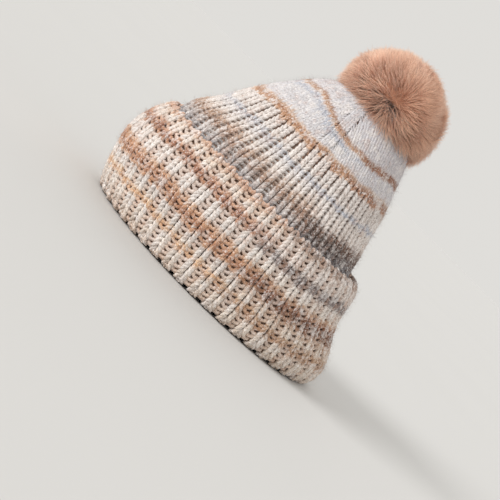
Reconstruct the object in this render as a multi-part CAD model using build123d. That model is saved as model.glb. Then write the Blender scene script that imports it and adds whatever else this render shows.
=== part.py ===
from build123d import *
from dataclasses import dataclass
import math
import os

# A ribbed knit beanie with a turned-up cuff and a snap-on fur pompom.
# Millimetres. +Z points up through the crown, -Y is the front, +X is the wearer's left.
# The origin is the centre of the head opening, on the plane that the folded rim stands on.

# Head opening and cuff, measured outside the fabric
rim_length = 214.0
rim_width = 160.0
cuff_height = 84.0
cuff_thickness = 4.0
fold_height = 4.5

# Body and crown
crown_height = 186.0
shell_thickness = 4.0
layer_gap = 1.0
crown_flat_length = 32.0
crown_flat_width = 30.0
gather_hole_radius = 3.8

# Seams, tacks and gathering yarn
seam_width = 4.0
seam_ridge = 1.4
tack_width = 6.0
tack_height = 5.0
tack_drop = 8.0
yarn_radius = 1.2
gather_tail_length = 16.0
knot_radius = 2.6

# Felt backing under the crown
backing_radius = 12.0
backing_thickness = 1.6

# Press stud
snap_y = 6.5
snap_radius = 6.5
nod_gap = 1.8
stud_plate_thickness = 0.8
post_neck_radius = 1.8
post_head_radius = 2.2
post_height = 2.4
post_head_height = 1.0
socket_height = 2.2
socket_wall_above = 0.5
spring_wire_radius = 0.3
sew_hole_radius = 0.7
sew_hole_circle = 4.7
thread_radius = 0.4
thread_slack = 0.05
running_clearance = 0.35
shank_radius = 1.6
shank_height = 1.1
sway_gap = 1.9

# Pompom
pompom_diameter = 93.0
pompom_top = 234.0
pompom_widest_height = 5.0
pompom_skirt_depth = 12.0
pile_lift = 0.6
pom_base_radius = 17.0
pom_base_thickness = 2.0
core_radius = 23.0
core_height = 25.0
core_backing_thickness = 1.4
core_mouth_radius = 5.0
pom_thread_radius = 0.7
base_stitch_count = 12

# Care label
label_width = 32.0
label_length = 40.0
label_thickness = 0.8
label_top = 64.0
label_standoff = 3.8
label_tack_spacing = 18.0
label_tack_radius = 0.6


@dataclass(frozen=True)
class Oval:
    """A level oval ring of the knit: its height, its front and back reach and its half width."""

    height: float
    front: float
    back: float
    half_width: float

    @property
    def mean_radius(self) -> float:
        return ((self.back - self.front) / 2 + self.half_width) / 2

    def drawn_in(self, amount: float, height: float) -> "Oval":
        """The same oval drawn in all round by an amount, at another height."""
        return Oval(height, self.front + amount, self.back - amount, self.half_width - amount)

    def face(self):
        centre = (self.front + self.back) / 2
        half_length = (self.back - self.front) / 2
        return Plane(origin=(0, centre, self.height)) * Ellipse(self.half_width, half_length)


def between(low: Oval, high: Oval, height: float) -> Oval:
    """The oval at a height between two ovals."""
    share = (height - low.height) / (high.height - low.height)

    def mix(start, end):
        return start + (end - start) * share

    return Oval(height, mix(low.front, high.front), mix(low.back, high.back),
                mix(low.half_width, high.half_width))


# The cuff's outside, from the fold up: share of the cuff height, then how far the front, the
# back and each side stand out beyond the rim. The front swells over the brow, the back leans in.
cuff_outline = [
    (0.0, 0.0, 0.0, 0.0),
    (0.036, 3.6, 2.5, 2.0),
    (0.107, 7.5, 4.6, 3.5),
    (0.42, 15.5, -4.7, 5.8),
    (0.79, 14.0, -16.4, 5.0),
    (1.0, 3.8, -28.0, 2.0),
]

# The body above the cuff: share of the height up to the crown, share of the cuff top's size,
# and share of the way that the rings' centres move back to the middle of the crown.
crown_outline = [
    (0.10, 0.968, 0.02),
    (0.245, 0.886, 0.16),
    (0.446, 0.787, 0.32),
    (0.694, 0.632, 0.52),
    (0.843, 0.525, 0.68),
    (0.951, 0.39, 0.82),
]


def cuff_ovals():
    """The outer ovals of the cuff."""
    return [
        Oval(share * cuff_height,
             -rim_length / 2 - front,
             rim_length / 2 + back,
             rim_width / 2 + side)
        for share, front, back, side in cuff_outline
    ]


def level_inset(ovals, depth):
    """Ovals drawn in level, so that the wall is a depth thick square to its slope."""
    result = []
    for index, oval in enumerate(ovals):
        low = ovals[max(index - 1, 0)]
        high = ovals[min(index + 1, len(ovals) - 1)]
        slope = (high.mean_radius - low.mean_radius) / (high.height - low.height)
        result.append(oval.drawn_in(depth * math.sqrt(1 + slope * slope), oval.height))
    return result


def above_fold(ovals):
    """The ovals from the top of the fold upwards."""
    low, high = ovals[1], ovals[2]
    return [between(low, high, fold_height)] + ovals[2:]


def shell_ovals():
    """The outer ovals of the body, from the fold up inside the cuff to the flat of the crown."""
    band = above_fold(level_inset(cuff_ovals(), cuff_thickness + layer_gap))
    top = band[-1]
    half_length = (top.back - top.front) / 2
    centre = (top.front + top.back) / 2
    rise = crown_height - top.height
    crown = []
    for height_share, size_share, shift_share in crown_outline:
        middle = centre + (snap_y - centre) * shift_share
        reach = half_length * size_share
        crown.append(Oval(top.height + rise * height_share, middle - reach, middle + reach,
                          top.half_width * size_share))
    flat = Oval(crown_height, snap_y - crown_flat_length / 2, snap_y + crown_flat_length / 2,
                crown_flat_width / 2)
    return band + crown + [flat]


def shell_inset(ovals, depth):
    """The body's ovals moved in by a depth, square to the wall."""
    result = [ovals[0].drawn_in(depth, ovals[0].height)]
    for low, oval, high in zip(ovals, ovals[1:], ovals[2:]):
        out = high.mean_radius - low.mean_radius
        up = high.height - low.height
        length = math.hypot(out, up)
        result.append(oval.drawn_in(depth * up / length, oval.height + depth * out / length))
    corner_share = 0.25
    result.append(ovals[-1].drawn_in(depth * corner_share, ovals[-1].height - depth))
    return result


def lofted(ovals):
    """A smooth solid through a row of ovals."""
    return loft([oval.face() for oval in ovals])


def slab(width, low, high, y_from, y_to):
    """An upright block on the centre plane, for cutting strips of a wall."""
    return Pos(0, (y_from + y_to) / 2, (low + high) / 2) * Box(width, y_to - y_from, high - low)


far = rim_length * 2
body_ovals = shell_ovals()
body_outside = lofted(body_ovals)
body_inside = lofted(shell_inset(body_ovals, shell_thickness))
cuff_outside = lofted(cuff_ovals())
layer_outside = lofted(shell_inset(body_ovals, -layer_gap))
snap_axis = Pos(0, snap_y, 0)


def make_crown_shell():
    """The knit body, open at the rim, with the small hole that the gathering yarn draws in."""
    hole = snap_axis * Pos(0, 0, crown_height) * Cylinder(gather_hole_radius, shell_thickness * 4)
    return body_outside - body_inside - hole


def make_cuff():
    """The turned-up hem, with the fold that carries the body's lower edge."""
    opening = shell_inset(body_ovals, shell_thickness)[0]
    hole = extrude(opening.face(), amount=-fold_height - 1)
    return cuff_outside - layer_outside - hole


def make_back_seam():
    """The seam's ridge down the inside of the back."""
    ridge = body_inside - lofted(shell_inset(body_ovals, shell_thickness + seam_ridge))
    top = crown_height - shell_thickness * 3
    return ridge & slab(seam_width, fold_height, top, snap_y, far)


def make_cuff_seam():
    """The cuff's own seam, between the two layers at the back."""
    strip = slab(seam_width, fold_height, cuff_height - 1, snap_y, far)
    return (layer_outside & strip) - body_outside


def make_cuff_tacks():
    """Short tacking stitches between the layers at the front and at each side."""
    top = cuff_height - tack_drop
    low = top - tack_height
    front = slab(tack_width, low, top, -far, 0)
    sides = Pos(0, -rim_length / 8, (low + top) / 2) * Box(far, tack_width, tack_height)
    return (layer_outside & (front + sides)) - body_outside


def make_gather_yarn():
    """The yarn ring that closes the crown, with its knot and tail inside."""
    ring_radius = gather_hole_radius - yarn_radius
    ring = Pos(0, 0, crown_height - shell_thickness / 2) * Torus(ring_radius, yarn_radius)
    knot = Pos(0, 0, crown_height - shell_thickness - knot_radius) * Sphere(knot_radius)
    drop_top = crown_height - shell_thickness / 2
    drop_bottom = crown_height - shell_thickness - knot_radius
    drop_length = drop_top - drop_bottom
    drop = Pos(ring_radius, 0, drop_bottom + drop_length / 2) * Cylinder(yarn_radius, drop_length)
    tail = Pos(0, 0, drop_bottom - gather_tail_length / 2) * Cylinder(yarn_radius, gather_tail_length)
    return snap_axis * (ring + drop + knot + tail)


def make_crown_backing():
    """The felt washer under the crown that the press stud is sewn through."""
    height = crown_height - shell_thickness - backing_thickness / 2
    hole_radius = gather_hole_radius + running_clearance
    washer = Cylinder(backing_radius, backing_thickness) - Cylinder(hole_radius, backing_thickness)
    return snap_axis * Pos(0, 0, height) * washer


# Heights of the press stud's faces, one above the other
stud_bottom = crown_height + nod_gap
stud_top = stud_bottom + stud_plate_thickness
socket_bottom = stud_top + running_clearance + thread_radius * 2
socket_top = socket_bottom + socket_height
post_top = stud_top + post_height
base_bottom = socket_top + sway_gap
base_top = base_bottom + pom_base_thickness
spring_ring_radius = post_head_radius + running_clearance + spring_wire_radius
spring_height = post_top - post_head_height - spring_wire_radius


def sew_places():
    """The four places of a press stud's sewing holes."""
    return PolarLocations(sew_hole_circle, 4, start_angle=45)


def make_snap_stud():
    """The male half: a plate with four sewing holes and a headed post."""
    plate = Pos(0, 0, (stud_bottom + stud_top) / 2) * Cylinder(snap_radius, stud_plate_thickness)
    holes = [place * Pos(0, 0, stud_bottom) * Cylinder(sew_hole_radius, stud_plate_thickness * 4)
             for place in sew_places()]
    neck_height = post_height - post_head_height
    neck = Pos(0, 0, stud_top + neck_height / 2) * Cylinder(post_neck_radius, neck_height)
    head_middle = post_top - post_head_height / 2
    head = Pos(0, 0, head_middle) * Cylinder(post_head_radius, post_head_height)
    head = fillet(head.edges().group_by(Axis.Z)[-1], post_head_height / 3)
    return snap_axis * (plate + neck + head - holes)


def plate_stitches(bottom, top):
    """Stitches that come up through each sewing hole and pass over the plate to its rim."""
    stitches = []
    reach = snap_radius - sew_hole_circle
    for place in sew_places():
        peg = Pos(0, 0, (bottom + top) / 2) * Cylinder(thread_radius, top - bottom)
        bar = Pos(reach / 2, 0, top + thread_radius) * Box(reach + thread_radius * 2,
                                                           thread_radius * 2, thread_radius * 2)
        stitches.append(place * (peg + bar))
    return stitches


def make_stud_thread():
    """The stitches that sew the stud to the crown, and the short wound shank below it."""
    low = stud_bottom - shank_height
    shank = Pos(0, 0, (low + stud_bottom) / 2) * Cylinder(shank_radius, shank_height)
    web_radius = sew_hole_circle + thread_radius * 2
    web = Pos(0, 0, stud_bottom - thread_radius / 2) * Cylinder(web_radius, thread_radius)
    return snap_axis * (web + shank + plate_stitches(stud_bottom, stud_top + thread_slack))


def make_snap_spring():
    """The wire ring in the socket that grips the post's neck."""
    return snap_axis * Pos(0, 0, spring_height) * Torus(spring_ring_radius, spring_wire_radius)


def make_snap_socket():
    """The female half: a disc with a blind bore, a groove for the wire ring and sewing holes."""
    disc = Pos(0, 0, (socket_bottom + socket_top) / 2) * Cylinder(snap_radius, socket_height)
    bore_radius = post_head_radius + running_clearance
    bore_depth = socket_height - socket_wall_above
    bore = Pos(0, 0, socket_bottom + bore_depth / 2) * Cylinder(bore_radius, bore_depth)
    groove_radius = spring_ring_radius + spring_wire_radius + running_clearance
    groove_height = (spring_wire_radius + running_clearance) * 2
    groove = Pos(0, 0, spring_height) * Cylinder(groove_radius, groove_height)
    holes = [place * Pos(0, 0, (socket_bottom + socket_top) / 2) * Cylinder(sew_hole_radius,
                                                                         socket_height * 2)
             for place in sew_places()]
    return snap_axis * (disc - bore - groove - holes)


def make_socket_thread():
    """The socket's stitches and the short wound shank that the pompom sways on."""
    pegs = [place * Pos(0, 0, (socket_bottom + socket_top) / 2) * Cylinder(thread_radius,
                                                                          socket_height)
            for place in sew_places()]
    web_radius = sew_hole_circle + thread_radius * 2
    web = Pos(0, 0, socket_top + thread_radius / 2) * Cylinder(web_radius, thread_radius)
    shank = Pos(0, 0, socket_top + shank_height / 2) * Cylinder(shank_radius, shank_height)
    return snap_axis * (web + shank + pegs)


def squashed_ball(radius, half_height, middle):
    """A ball squashed along the snap's axis."""
    return Pos(0, 0, middle) * scale(Sphere(1), by=(radius, radius, half_height))


core_middle = base_top + core_height / 2
core_outside = squashed_ball(core_radius, core_height / 2, core_middle)
core_inside = squashed_ball(core_radius - core_backing_thickness,
                            core_height / 2 - core_backing_thickness, core_middle)


def make_pom_base():
    """The felt disc that closes the underside of the pompom."""
    middle = (base_bottom + base_top) / 2
    return snap_axis * Pos(0, 0, middle) * Cylinder(pom_base_radius, pom_base_thickness)


def make_pom_backing():
    """The fur fabric's woven backing, drawn into a bag with a small mouth."""
    mouth = Pos(0, 0, base_top) * Cylinder(core_mouth_radius, core_backing_thickness * 4)
    return snap_axis * (core_outside - core_inside - mouth)


def make_pom_filling():
    """The ball of polyester fibre inside the bag."""
    return snap_axis * core_inside


def make_pom_gather_thread():
    """The strong thread that draws the bag's mouth shut."""
    ring_radius = core_mouth_radius - pom_thread_radius
    height = base_top + pom_thread_radius
    ring = Pos(0, 0, height) * Torus(ring_radius, pom_thread_radius)
    return snap_axis * ring - snap_axis * core_inside


def make_base_stitches():
    """The ring of stitches over the edge of the base disc."""
    stitches = []
    inner = pom_base_radius * 0.8
    length = pom_base_radius - inner
    for place in PolarLocations(inner + length / 2, base_stitch_count):
        bar = Pos(0, 0, base_bottom - thread_radius / 2) * Box(length, thread_radius * 2,
                                                              thread_radius)
        stitches.append(place * bar)
    return snap_axis * (Part() + stitches)


def make_pom_pile():
    """The fur: a deep dome that is hollow below, so that it can nod and sway over the crown."""
    radius = pompom_diameter / 2
    low = base_bottom + pile_lift
    widest = low + pompom_widest_height
    room = pompom_diameter * 2
    above = Pos(0, 0, widest + room / 2) * Box(room, room, room)
    below = Pos(0, 0, (low + widest) / 2) * Box(room, room, pompom_widest_height)
    crown = squashed_ball(radius, pompom_top - widest, widest) & above
    skirt = squashed_ball(radius, pompom_skirt_depth, widest) & below
    base = Pos(0, 0, (base_bottom + base_top) / 2) * Cylinder(pom_base_radius, pom_base_thickness)
    mouth_radius = core_mouth_radius + thread_slack
    mouth = Pos(0, 0, base_top + pom_thread_radius) * Cylinder(mouth_radius, pom_thread_radius * 2)
    return snap_axis * (crown + skirt - core_outside - base - mouth)


def label_y():
    """How far back the label hangs: a stand-off from the wall at its sewn edge."""
    inner = shell_inset(body_ovals, shell_thickness)
    for low, high in zip(inner, inner[1:]):
        if low.height <= label_top <= high.height:
            return between(low, high, label_top).back - label_standoff
    return inner[0].back - label_standoff


def make_care_label():
    """The blank woven label, which hangs from its sewn edge."""
    middle = label_top - label_length / 2
    label = Pos(0, label_y(), middle) * Box(label_width, label_thickness, label_length)
    return fillet(label.edges().filter_by(Axis.Y).group_by(Axis.Z)[0], label_width / 16)


def make_label_tacks():
    """Two thread tacks that hold the label's sewn edge to the wall."""
    tacks = []
    reach = label_standoff * 4
    height = label_top + label_thickness + label_tack_radius
    for place in GridLocations(label_tack_spacing, 1, 2, 1):
        tack = Rot(90, 0, 0) * Cylinder(label_tack_radius, reach)
        tacks.append(place * Pos(0, label_y() + reach / 2, height) * tack)
    return (Part() + tacks) & body_inside


makers = {
    "crown_shell": make_crown_shell,
    "cuff": make_cuff,
    "back_seam": make_back_seam,
    "cuff_seam": make_cuff_seam,
    "cuff_tacks": make_cuff_tacks,
    "crown_gather_yarn": make_gather_yarn,
    "crown_backing": make_crown_backing,
    "label_tacks": make_label_tacks,
    "care_label": make_care_label,
    "snap_stud": make_snap_stud,
    "stud_thread": make_stud_thread,
    "snap_spring": make_snap_spring,
    "snap_socket": make_snap_socket,
    "socket_thread": make_socket_thread,
    "pom_base": make_pom_base,
    "base_stitches": make_base_stitches,
    "pom_backing": make_pom_backing,
    "pom_filling": make_pom_filling,
    "pom_gather_thread": make_pom_gather_thread,
    "pom_pile": make_pom_pile,
}

os.makedirs("parts", exist_ok=True)
for node, maker in makers.items():
    shape = maker()
    export_step(shape, f"parts/{node}.step")
    size = shape.bounding_box().size
    print(f"{node:20s} {len(shape.solids())} solids {shape.volume:10.1f} mm3"
          f" {size.X:6.1f} {size.Y:6.1f} {size.Z:6.1f}")
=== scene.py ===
"""The looks of a rib-knit beanie with a turned-up cuff and a snap-on fur pompom."""

import logging
import math
from dataclasses import dataclass, field
from enum import Enum
from typing import Any, Iterable, Optional, Sequence

import bmesh
import bpy
import numpy as np
from mathutils import Matrix, Vector
from mathutils.bvhtree import BVHTree


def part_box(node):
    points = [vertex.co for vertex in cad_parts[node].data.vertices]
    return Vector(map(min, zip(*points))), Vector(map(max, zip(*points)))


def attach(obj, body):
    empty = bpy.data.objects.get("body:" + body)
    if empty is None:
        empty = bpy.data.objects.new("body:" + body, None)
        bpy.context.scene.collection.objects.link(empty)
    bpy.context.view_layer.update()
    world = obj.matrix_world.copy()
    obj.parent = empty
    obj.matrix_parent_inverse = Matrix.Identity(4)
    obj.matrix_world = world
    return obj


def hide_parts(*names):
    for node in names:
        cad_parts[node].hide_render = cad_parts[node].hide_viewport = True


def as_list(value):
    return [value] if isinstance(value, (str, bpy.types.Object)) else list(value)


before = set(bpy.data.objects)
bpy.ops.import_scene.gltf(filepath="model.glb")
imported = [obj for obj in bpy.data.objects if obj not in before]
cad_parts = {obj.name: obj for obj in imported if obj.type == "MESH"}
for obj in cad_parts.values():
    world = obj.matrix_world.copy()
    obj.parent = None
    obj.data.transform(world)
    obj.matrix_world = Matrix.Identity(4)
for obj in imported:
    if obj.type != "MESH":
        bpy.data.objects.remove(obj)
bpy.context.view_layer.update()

MM = 0.001
UP = np.array([0.0, 0.0, 1.0])
SNAP_AXIS = np.array([0, 6.5 * MM, 0])
DYE_SPAN = 200
FOLD_TURNS = (22, 56, 90, 124, 158)
LOG = logging.getLogger("beanie")

Colour = tuple[float, float, float]
Array = np.ndarray


class Face(Enum):
    """Which side of a knit layer a wall follows."""

    OUTER = 1
    INNER = -1


class Lean(Enum):
    """Which way the two legs of a stitch lean together."""

    DOWN = 1
    UP = -1


def rgb(red: int, green: int, blue: int) -> Colour:
    """A display colour, 0 to 255, as the linear colour that the nodes take."""
    def linear(level: float) -> float:
        """One display level as a linear one."""
        share = level / 255
        return share / 12.92 if share <= 0.04045 else ((share + 0.055) / 1.055) ** 2.4
    return linear(red), linear(green), linear(blue)


def smooth_step(low: float, high: float, value: Array) -> Array:
    """0 below low, 1 above high, and a smooth rise between."""
    share = np.clip((value - low) / (high - low), 0, 1)
    return share * share * (3 - 2 * share)


def unit(vectors: Array) -> Array:
    """The vectors at length one."""
    return vectors / np.maximum(np.linalg.norm(vectors, axis=-1, keepdims=True), 1e-12)


# ---------------------------------------------------------------- meshes


def mesh_piece(name: str, points: Array, faces: Sequence[Sequence[int]],
               link: bool = True) -> bpy.types.Object:
    """A smooth mesh object at the origin.

    Args:
        name: the piece's name.
        points: its points, in metres.
        faces: its faces, as point numbers.
        link: whether it goes into the scene.

    Returns:
        The new object.
    """
    mesh = bpy.data.meshes.new(name)
    mesh.from_pydata([tuple(map(float, point)) for point in points], [],
                     [tuple(int(index) for index in face) for face in faces])
    mesh.polygons.foreach_set("use_smooth", np.ones(len(mesh.polygons), dtype=bool))
    mesh.validate()
    mesh.update()
    piece = bpy.data.objects.new(name, mesh)
    if link:
        bpy.context.scene.collection.objects.link(piece)
    return piece


def put_vectors(mesh: bpy.types.Mesh, name: str, values: Array) -> None:
    """Stores one vector for each point of a mesh."""
    layer = mesh.attributes.new(name, "FLOAT_VECTOR", "POINT")
    layer.data.foreach_set("vector", np.asarray(values, dtype=np.float32).ravel())


def grid_faces(rows: int, columns: int, around: bool, start: int = 0) -> list[tuple[int, ...]]:
    """The quads of a grid of points, closed round its columns if asked."""
    faces = []
    for row in range(rows - 1):
        for column in range(columns if around else columns - 1):
            right = (column + 1) % columns
            low, high = start + row * columns, start + (row + 1) * columns
            faces.append((low + column, low + right, high + right, high + column))
    return faces


def swept(path: Array, radii: Array, sides: int, closed: bool = False, plies: int = 0,
          pitch: float = 1.0, relief: float = 0.0) -> tuple[Array, list[tuple[int, ...]], Array]:
    """A tube along a path, with rounded ends or closed on itself.

    Args:
        path: the points of its middle line.
        radii: its radius at each of them.
        sides: the points round it.
        closed: whether the path is a loop.
        plies: how many strands its twist shows.
        pitch: the twist's turns from end to end.
        relief: how deep the twist is, as a share of the radius.

    Returns:
        Points, faces, and for each point the sine and cosine round the tube and its share along.
    """
    count = len(path)
    if closed:
        tangent = unit(np.roll(path, -1, 0) - np.roll(path, 1, 0))
    else:
        tangent = unit(np.gradient(path, axis=0))
    guide = UP if abs(tangent[:, 2]).mean() < 0.8 else np.array([1.0, 0.0, 0.0])
    side = unit(np.cross(tangent, guide))
    top = np.cross(side, tangent)
    turn = np.arange(sides) * 2 * math.pi / sides
    along = np.arange(count) / (count if closed else count - 1)
    wave = 1 + relief * np.cos(plies * turn[None, :] + 2 * math.pi * pitch * along[:, None])
    reach = radii[:, None] * wave
    ring = (path[:, None, :] + side[:, None, :] * (np.cos(turn) * reach)[..., None]
            + top[:, None, :] * (np.sin(turn) * reach)[..., None])
    points = ring.reshape(-1, 3)
    facts = np.stack([np.broadcast_to(np.cos(turn), reach.shape),
                      np.broadcast_to(np.sin(turn), reach.shape),
                      np.broadcast_to(along[:, None], reach.shape)], -1).reshape(-1, 3)
    faces = [face[::-1] for face in grid_faces(count, sides, True)]
    if closed:
        last = (count - 1) * sides
        faces += [(last + i, i, (i + 1) % sides, last + (i + 1) % sides)
                  for i in range(sides)]
    else:
        ends = np.array([path[0] - tangent[0] * radii[0] * 0.5,
                         path[-1] + tangent[-1] * radii[-1] * 0.5])
        first, final = len(points), len(points) + 1
        points = np.vstack([points, ends])
        facts = np.vstack([facts, [[0, 0, 0], [0, 0, 1]]])
        last = (count - 1) * sides
        faces += [(first, i, (i + 1) % sides) for i in range(sides)]
        faces += [(final, last + (i + 1) % sides, last + i) for i in range(sides)]
    return points, faces, facts


def facing_out(piece: bpy.types.Object) -> bpy.types.Object:
    """Turns the faces of a closed piece outwards."""
    work = bmesh.new()
    work.from_mesh(piece.data)
    bmesh.ops.recalc_face_normals(work, faces=work.faces)
    work.to_mesh(piece.data)
    work.free()
    return piece


# ---------------------------------------------------------------- shader and geometry nodes


def fill_sockets(links: Any, node: Any, inputs: dict[Any, Any]) -> None:
    """Gives a node's sockets their values or links.

    Args:
        links: the tree's links.
        node: the node.
        inputs: a value, socket or signal by socket name or number.
    """
    for key, value in inputs.items():
        if isinstance(key, int):
            socket = node.inputs[key]
        else:
            socket = next(s for s in node.inputs if s.name == key and s.enabled)
        if isinstance(value, Signal):
            value = value.socket
        if isinstance(value, bpy.types.NodeSocket):
            links.new(value, socket)
        elif socket.type == "RGBA" and len(value) == 3:
            socket.default_value = (*value, 1)
        else:
            socket.default_value = value


class Signal:
    """A number on a socket. Python's operators add the Math nodes."""

    def __init__(self, shader: "Shader", socket: bpy.types.NodeSocket) -> None:
        """Keeps the shader that the number belongs to."""
        self.shader = shader
        self.socket = socket

    def _maths(self, operation: str, *values: Any) -> "Signal":
        """The result of one Math node."""
        node = self.shader.node("ShaderNodeMath", {"operation": operation},
                                dict(enumerate(values)))
        return Signal(self.shader, node.outputs[0])

    def __add__(self, other: Any) -> "Signal":
        """Sum."""
        return self._maths("ADD", self, other)

    __radd__ = __add__

    def __mul__(self, other: Any) -> "Signal":
        """Product."""
        return self._maths("MULTIPLY", self, other)

    __rmul__ = __mul__

    def __sub__(self, other: Any) -> "Signal":
        """Difference."""
        return self._maths("SUBTRACT", self, other)

    def __rsub__(self, other: Any) -> "Signal":
        """Difference the other way round."""
        return self._maths("SUBTRACT", other, self)

    def __pow__(self, other: float) -> "Signal":
        """Power."""
        return self._maths("POWER", self, other)

    def sine(self) -> "Signal":
        """Sine."""
        return self._maths("SINE", self)

    def turn_with(self, other: "Signal") -> "Signal":
        """The angle of which this is the sine and the other the cosine."""
        return self._maths("ARCTAN2", self, other)

    def between(self, low: float, high: float) -> "Signal":
        """0 below low, 1 above high, and a smooth rise between."""
        node = self.shader.node("ShaderNodeMapRange", {"interpolation_type": "SMOOTHSTEP"},
                                {"Value": self, "From Min": low, "From Max": high})
        return Signal(self.shader, node.outputs[0])


class Shader:
    """A material under construction."""

    def __init__(self, name: str, roughness: float, metallic: float = 0.0,
                 sheen: float = 0.0) -> None:
        """Starts a material with one Principled shader."""
        self.material = bpy.data.materials.new(name)
        self.material.use_nodes = True
        self.tree = self.material.node_tree
        self.surface = next(n for n in self.tree.nodes if n.type == "BSDF_PRINCIPLED")
        self.surface.inputs["Roughness"].default_value = roughness
        self.surface.inputs["Metallic"].default_value = metallic
        self.surface.inputs["Sheen Weight"].default_value = sheen
        self.surface.inputs["Sheen Roughness"].default_value = 0.5
        self.coordinates = self.node("ShaderNodeTexCoord", {}, {}).outputs["Object"]

    def node(self, kind: str, settings: dict[str, Any], inputs: dict[Any, Any]) -> Any:
        """Adds one node.

        Args:
            kind: the node's type.
            settings: its options, or "stops" for a ramp's colours.
            inputs: the values or links of its sockets.

        Returns:
            The node.
        """
        node = self.tree.nodes.new(kind)
        for key, value in settings.items():
            if key == "stops":
                self._fill_ramp(node.color_ramp, value)
            else:
                setattr(node, key, value)
        fill_sockets(self.tree.links, node, inputs)
        return node

    @staticmethod
    def _fill_ramp(ramp: Any, stops: Sequence[tuple[float, Colour]]) -> None:
        """Gives a ramp its stops."""
        while len(ramp.elements) < len(stops):
            ramp.elements.new(0.5)
        for element, (place, colour) in zip(ramp.elements, stops):
            element.position = place
        for element, (place, colour) in zip(ramp.elements, stops):
            element.color = (*colour, 1)

    def noise(self, scale: float, detail: float = 2.0, roughness: float = 0.5,
              stretch: Colour = (1, 1, 1), source: Any = None) -> Signal:
        """Soft noise over Object coordinates or another vector."""
        mapped = self.node("ShaderNodeMapping", {},
                           {"Vector": source or self.coordinates, "Scale": stretch})
        node = self.node("ShaderNodeTexNoise", {}, {
            "Vector": mapped.outputs[0], "Scale": scale, "Detail": detail,
            "Roughness": roughness})
        return Signal(self, node.outputs[0])

    def split(self, vector: Any) -> list[Signal]:
        """The three numbers of a vector."""
        node = self.node("ShaderNodeSeparateXYZ", {}, {0: vector})
        return [Signal(self, socket) for socket in node.outputs]

    def parts(self, name: str) -> list[Signal]:
        """The three numbers of an attribute of the mesh."""
        source = self.node("ShaderNodeAttribute", {"attribute_name": name}, {})
        return self.split(source.outputs["Vector"])

    def place(self) -> list[Signal]:
        """Across, back and up, in metres."""
        return self.split(self.coordinates)

    def shaded(self, colour: Any, level: Signal) -> Any:
        """A colour made darker or lighter by a level."""
        grey = self.node("ShaderNodeCombineColor", {}, {0: level, 1: level, 2: level})
        return self.mixed(1.0, colour, grey.outputs[0], "MULTIPLY")

    def ramp(self, value: Signal, stops: Sequence[tuple[float, Colour]]) -> Any:
        """A colour looked up in a row of stops."""
        return self.node("ShaderNodeValToRGB", {"stops": stops}, {0: value}).outputs[0]

    def mixed(self, share: Any, first: Any, second: Any, blend: str = "MIX") -> Any:
        """Two colours mixed."""
        node = self.node("ShaderNodeMix", {"data_type": "RGBA", "blend_type": blend},
                         {0: share, 6: first, 7: second})
        return node.outputs[2]

    def finish(self, colour: Any, bump: Optional[Signal] = None, strength: float = 0.5,
               distance: float = 0.0004) -> bpy.types.Material:
        """Connects the colour and the relief, and gives the material."""
        fill_sockets(self.tree.links, self.surface, {"Base Color": colour})
        if bump is not None:
            node = self.node("ShaderNodeBump", {}, {"Height": bump, "Strength": strength,
                                                    "Distance": distance})
            fill_sockets(self.tree.links, self.surface, {"Normal": node.outputs[0]})
        return self.material


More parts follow.
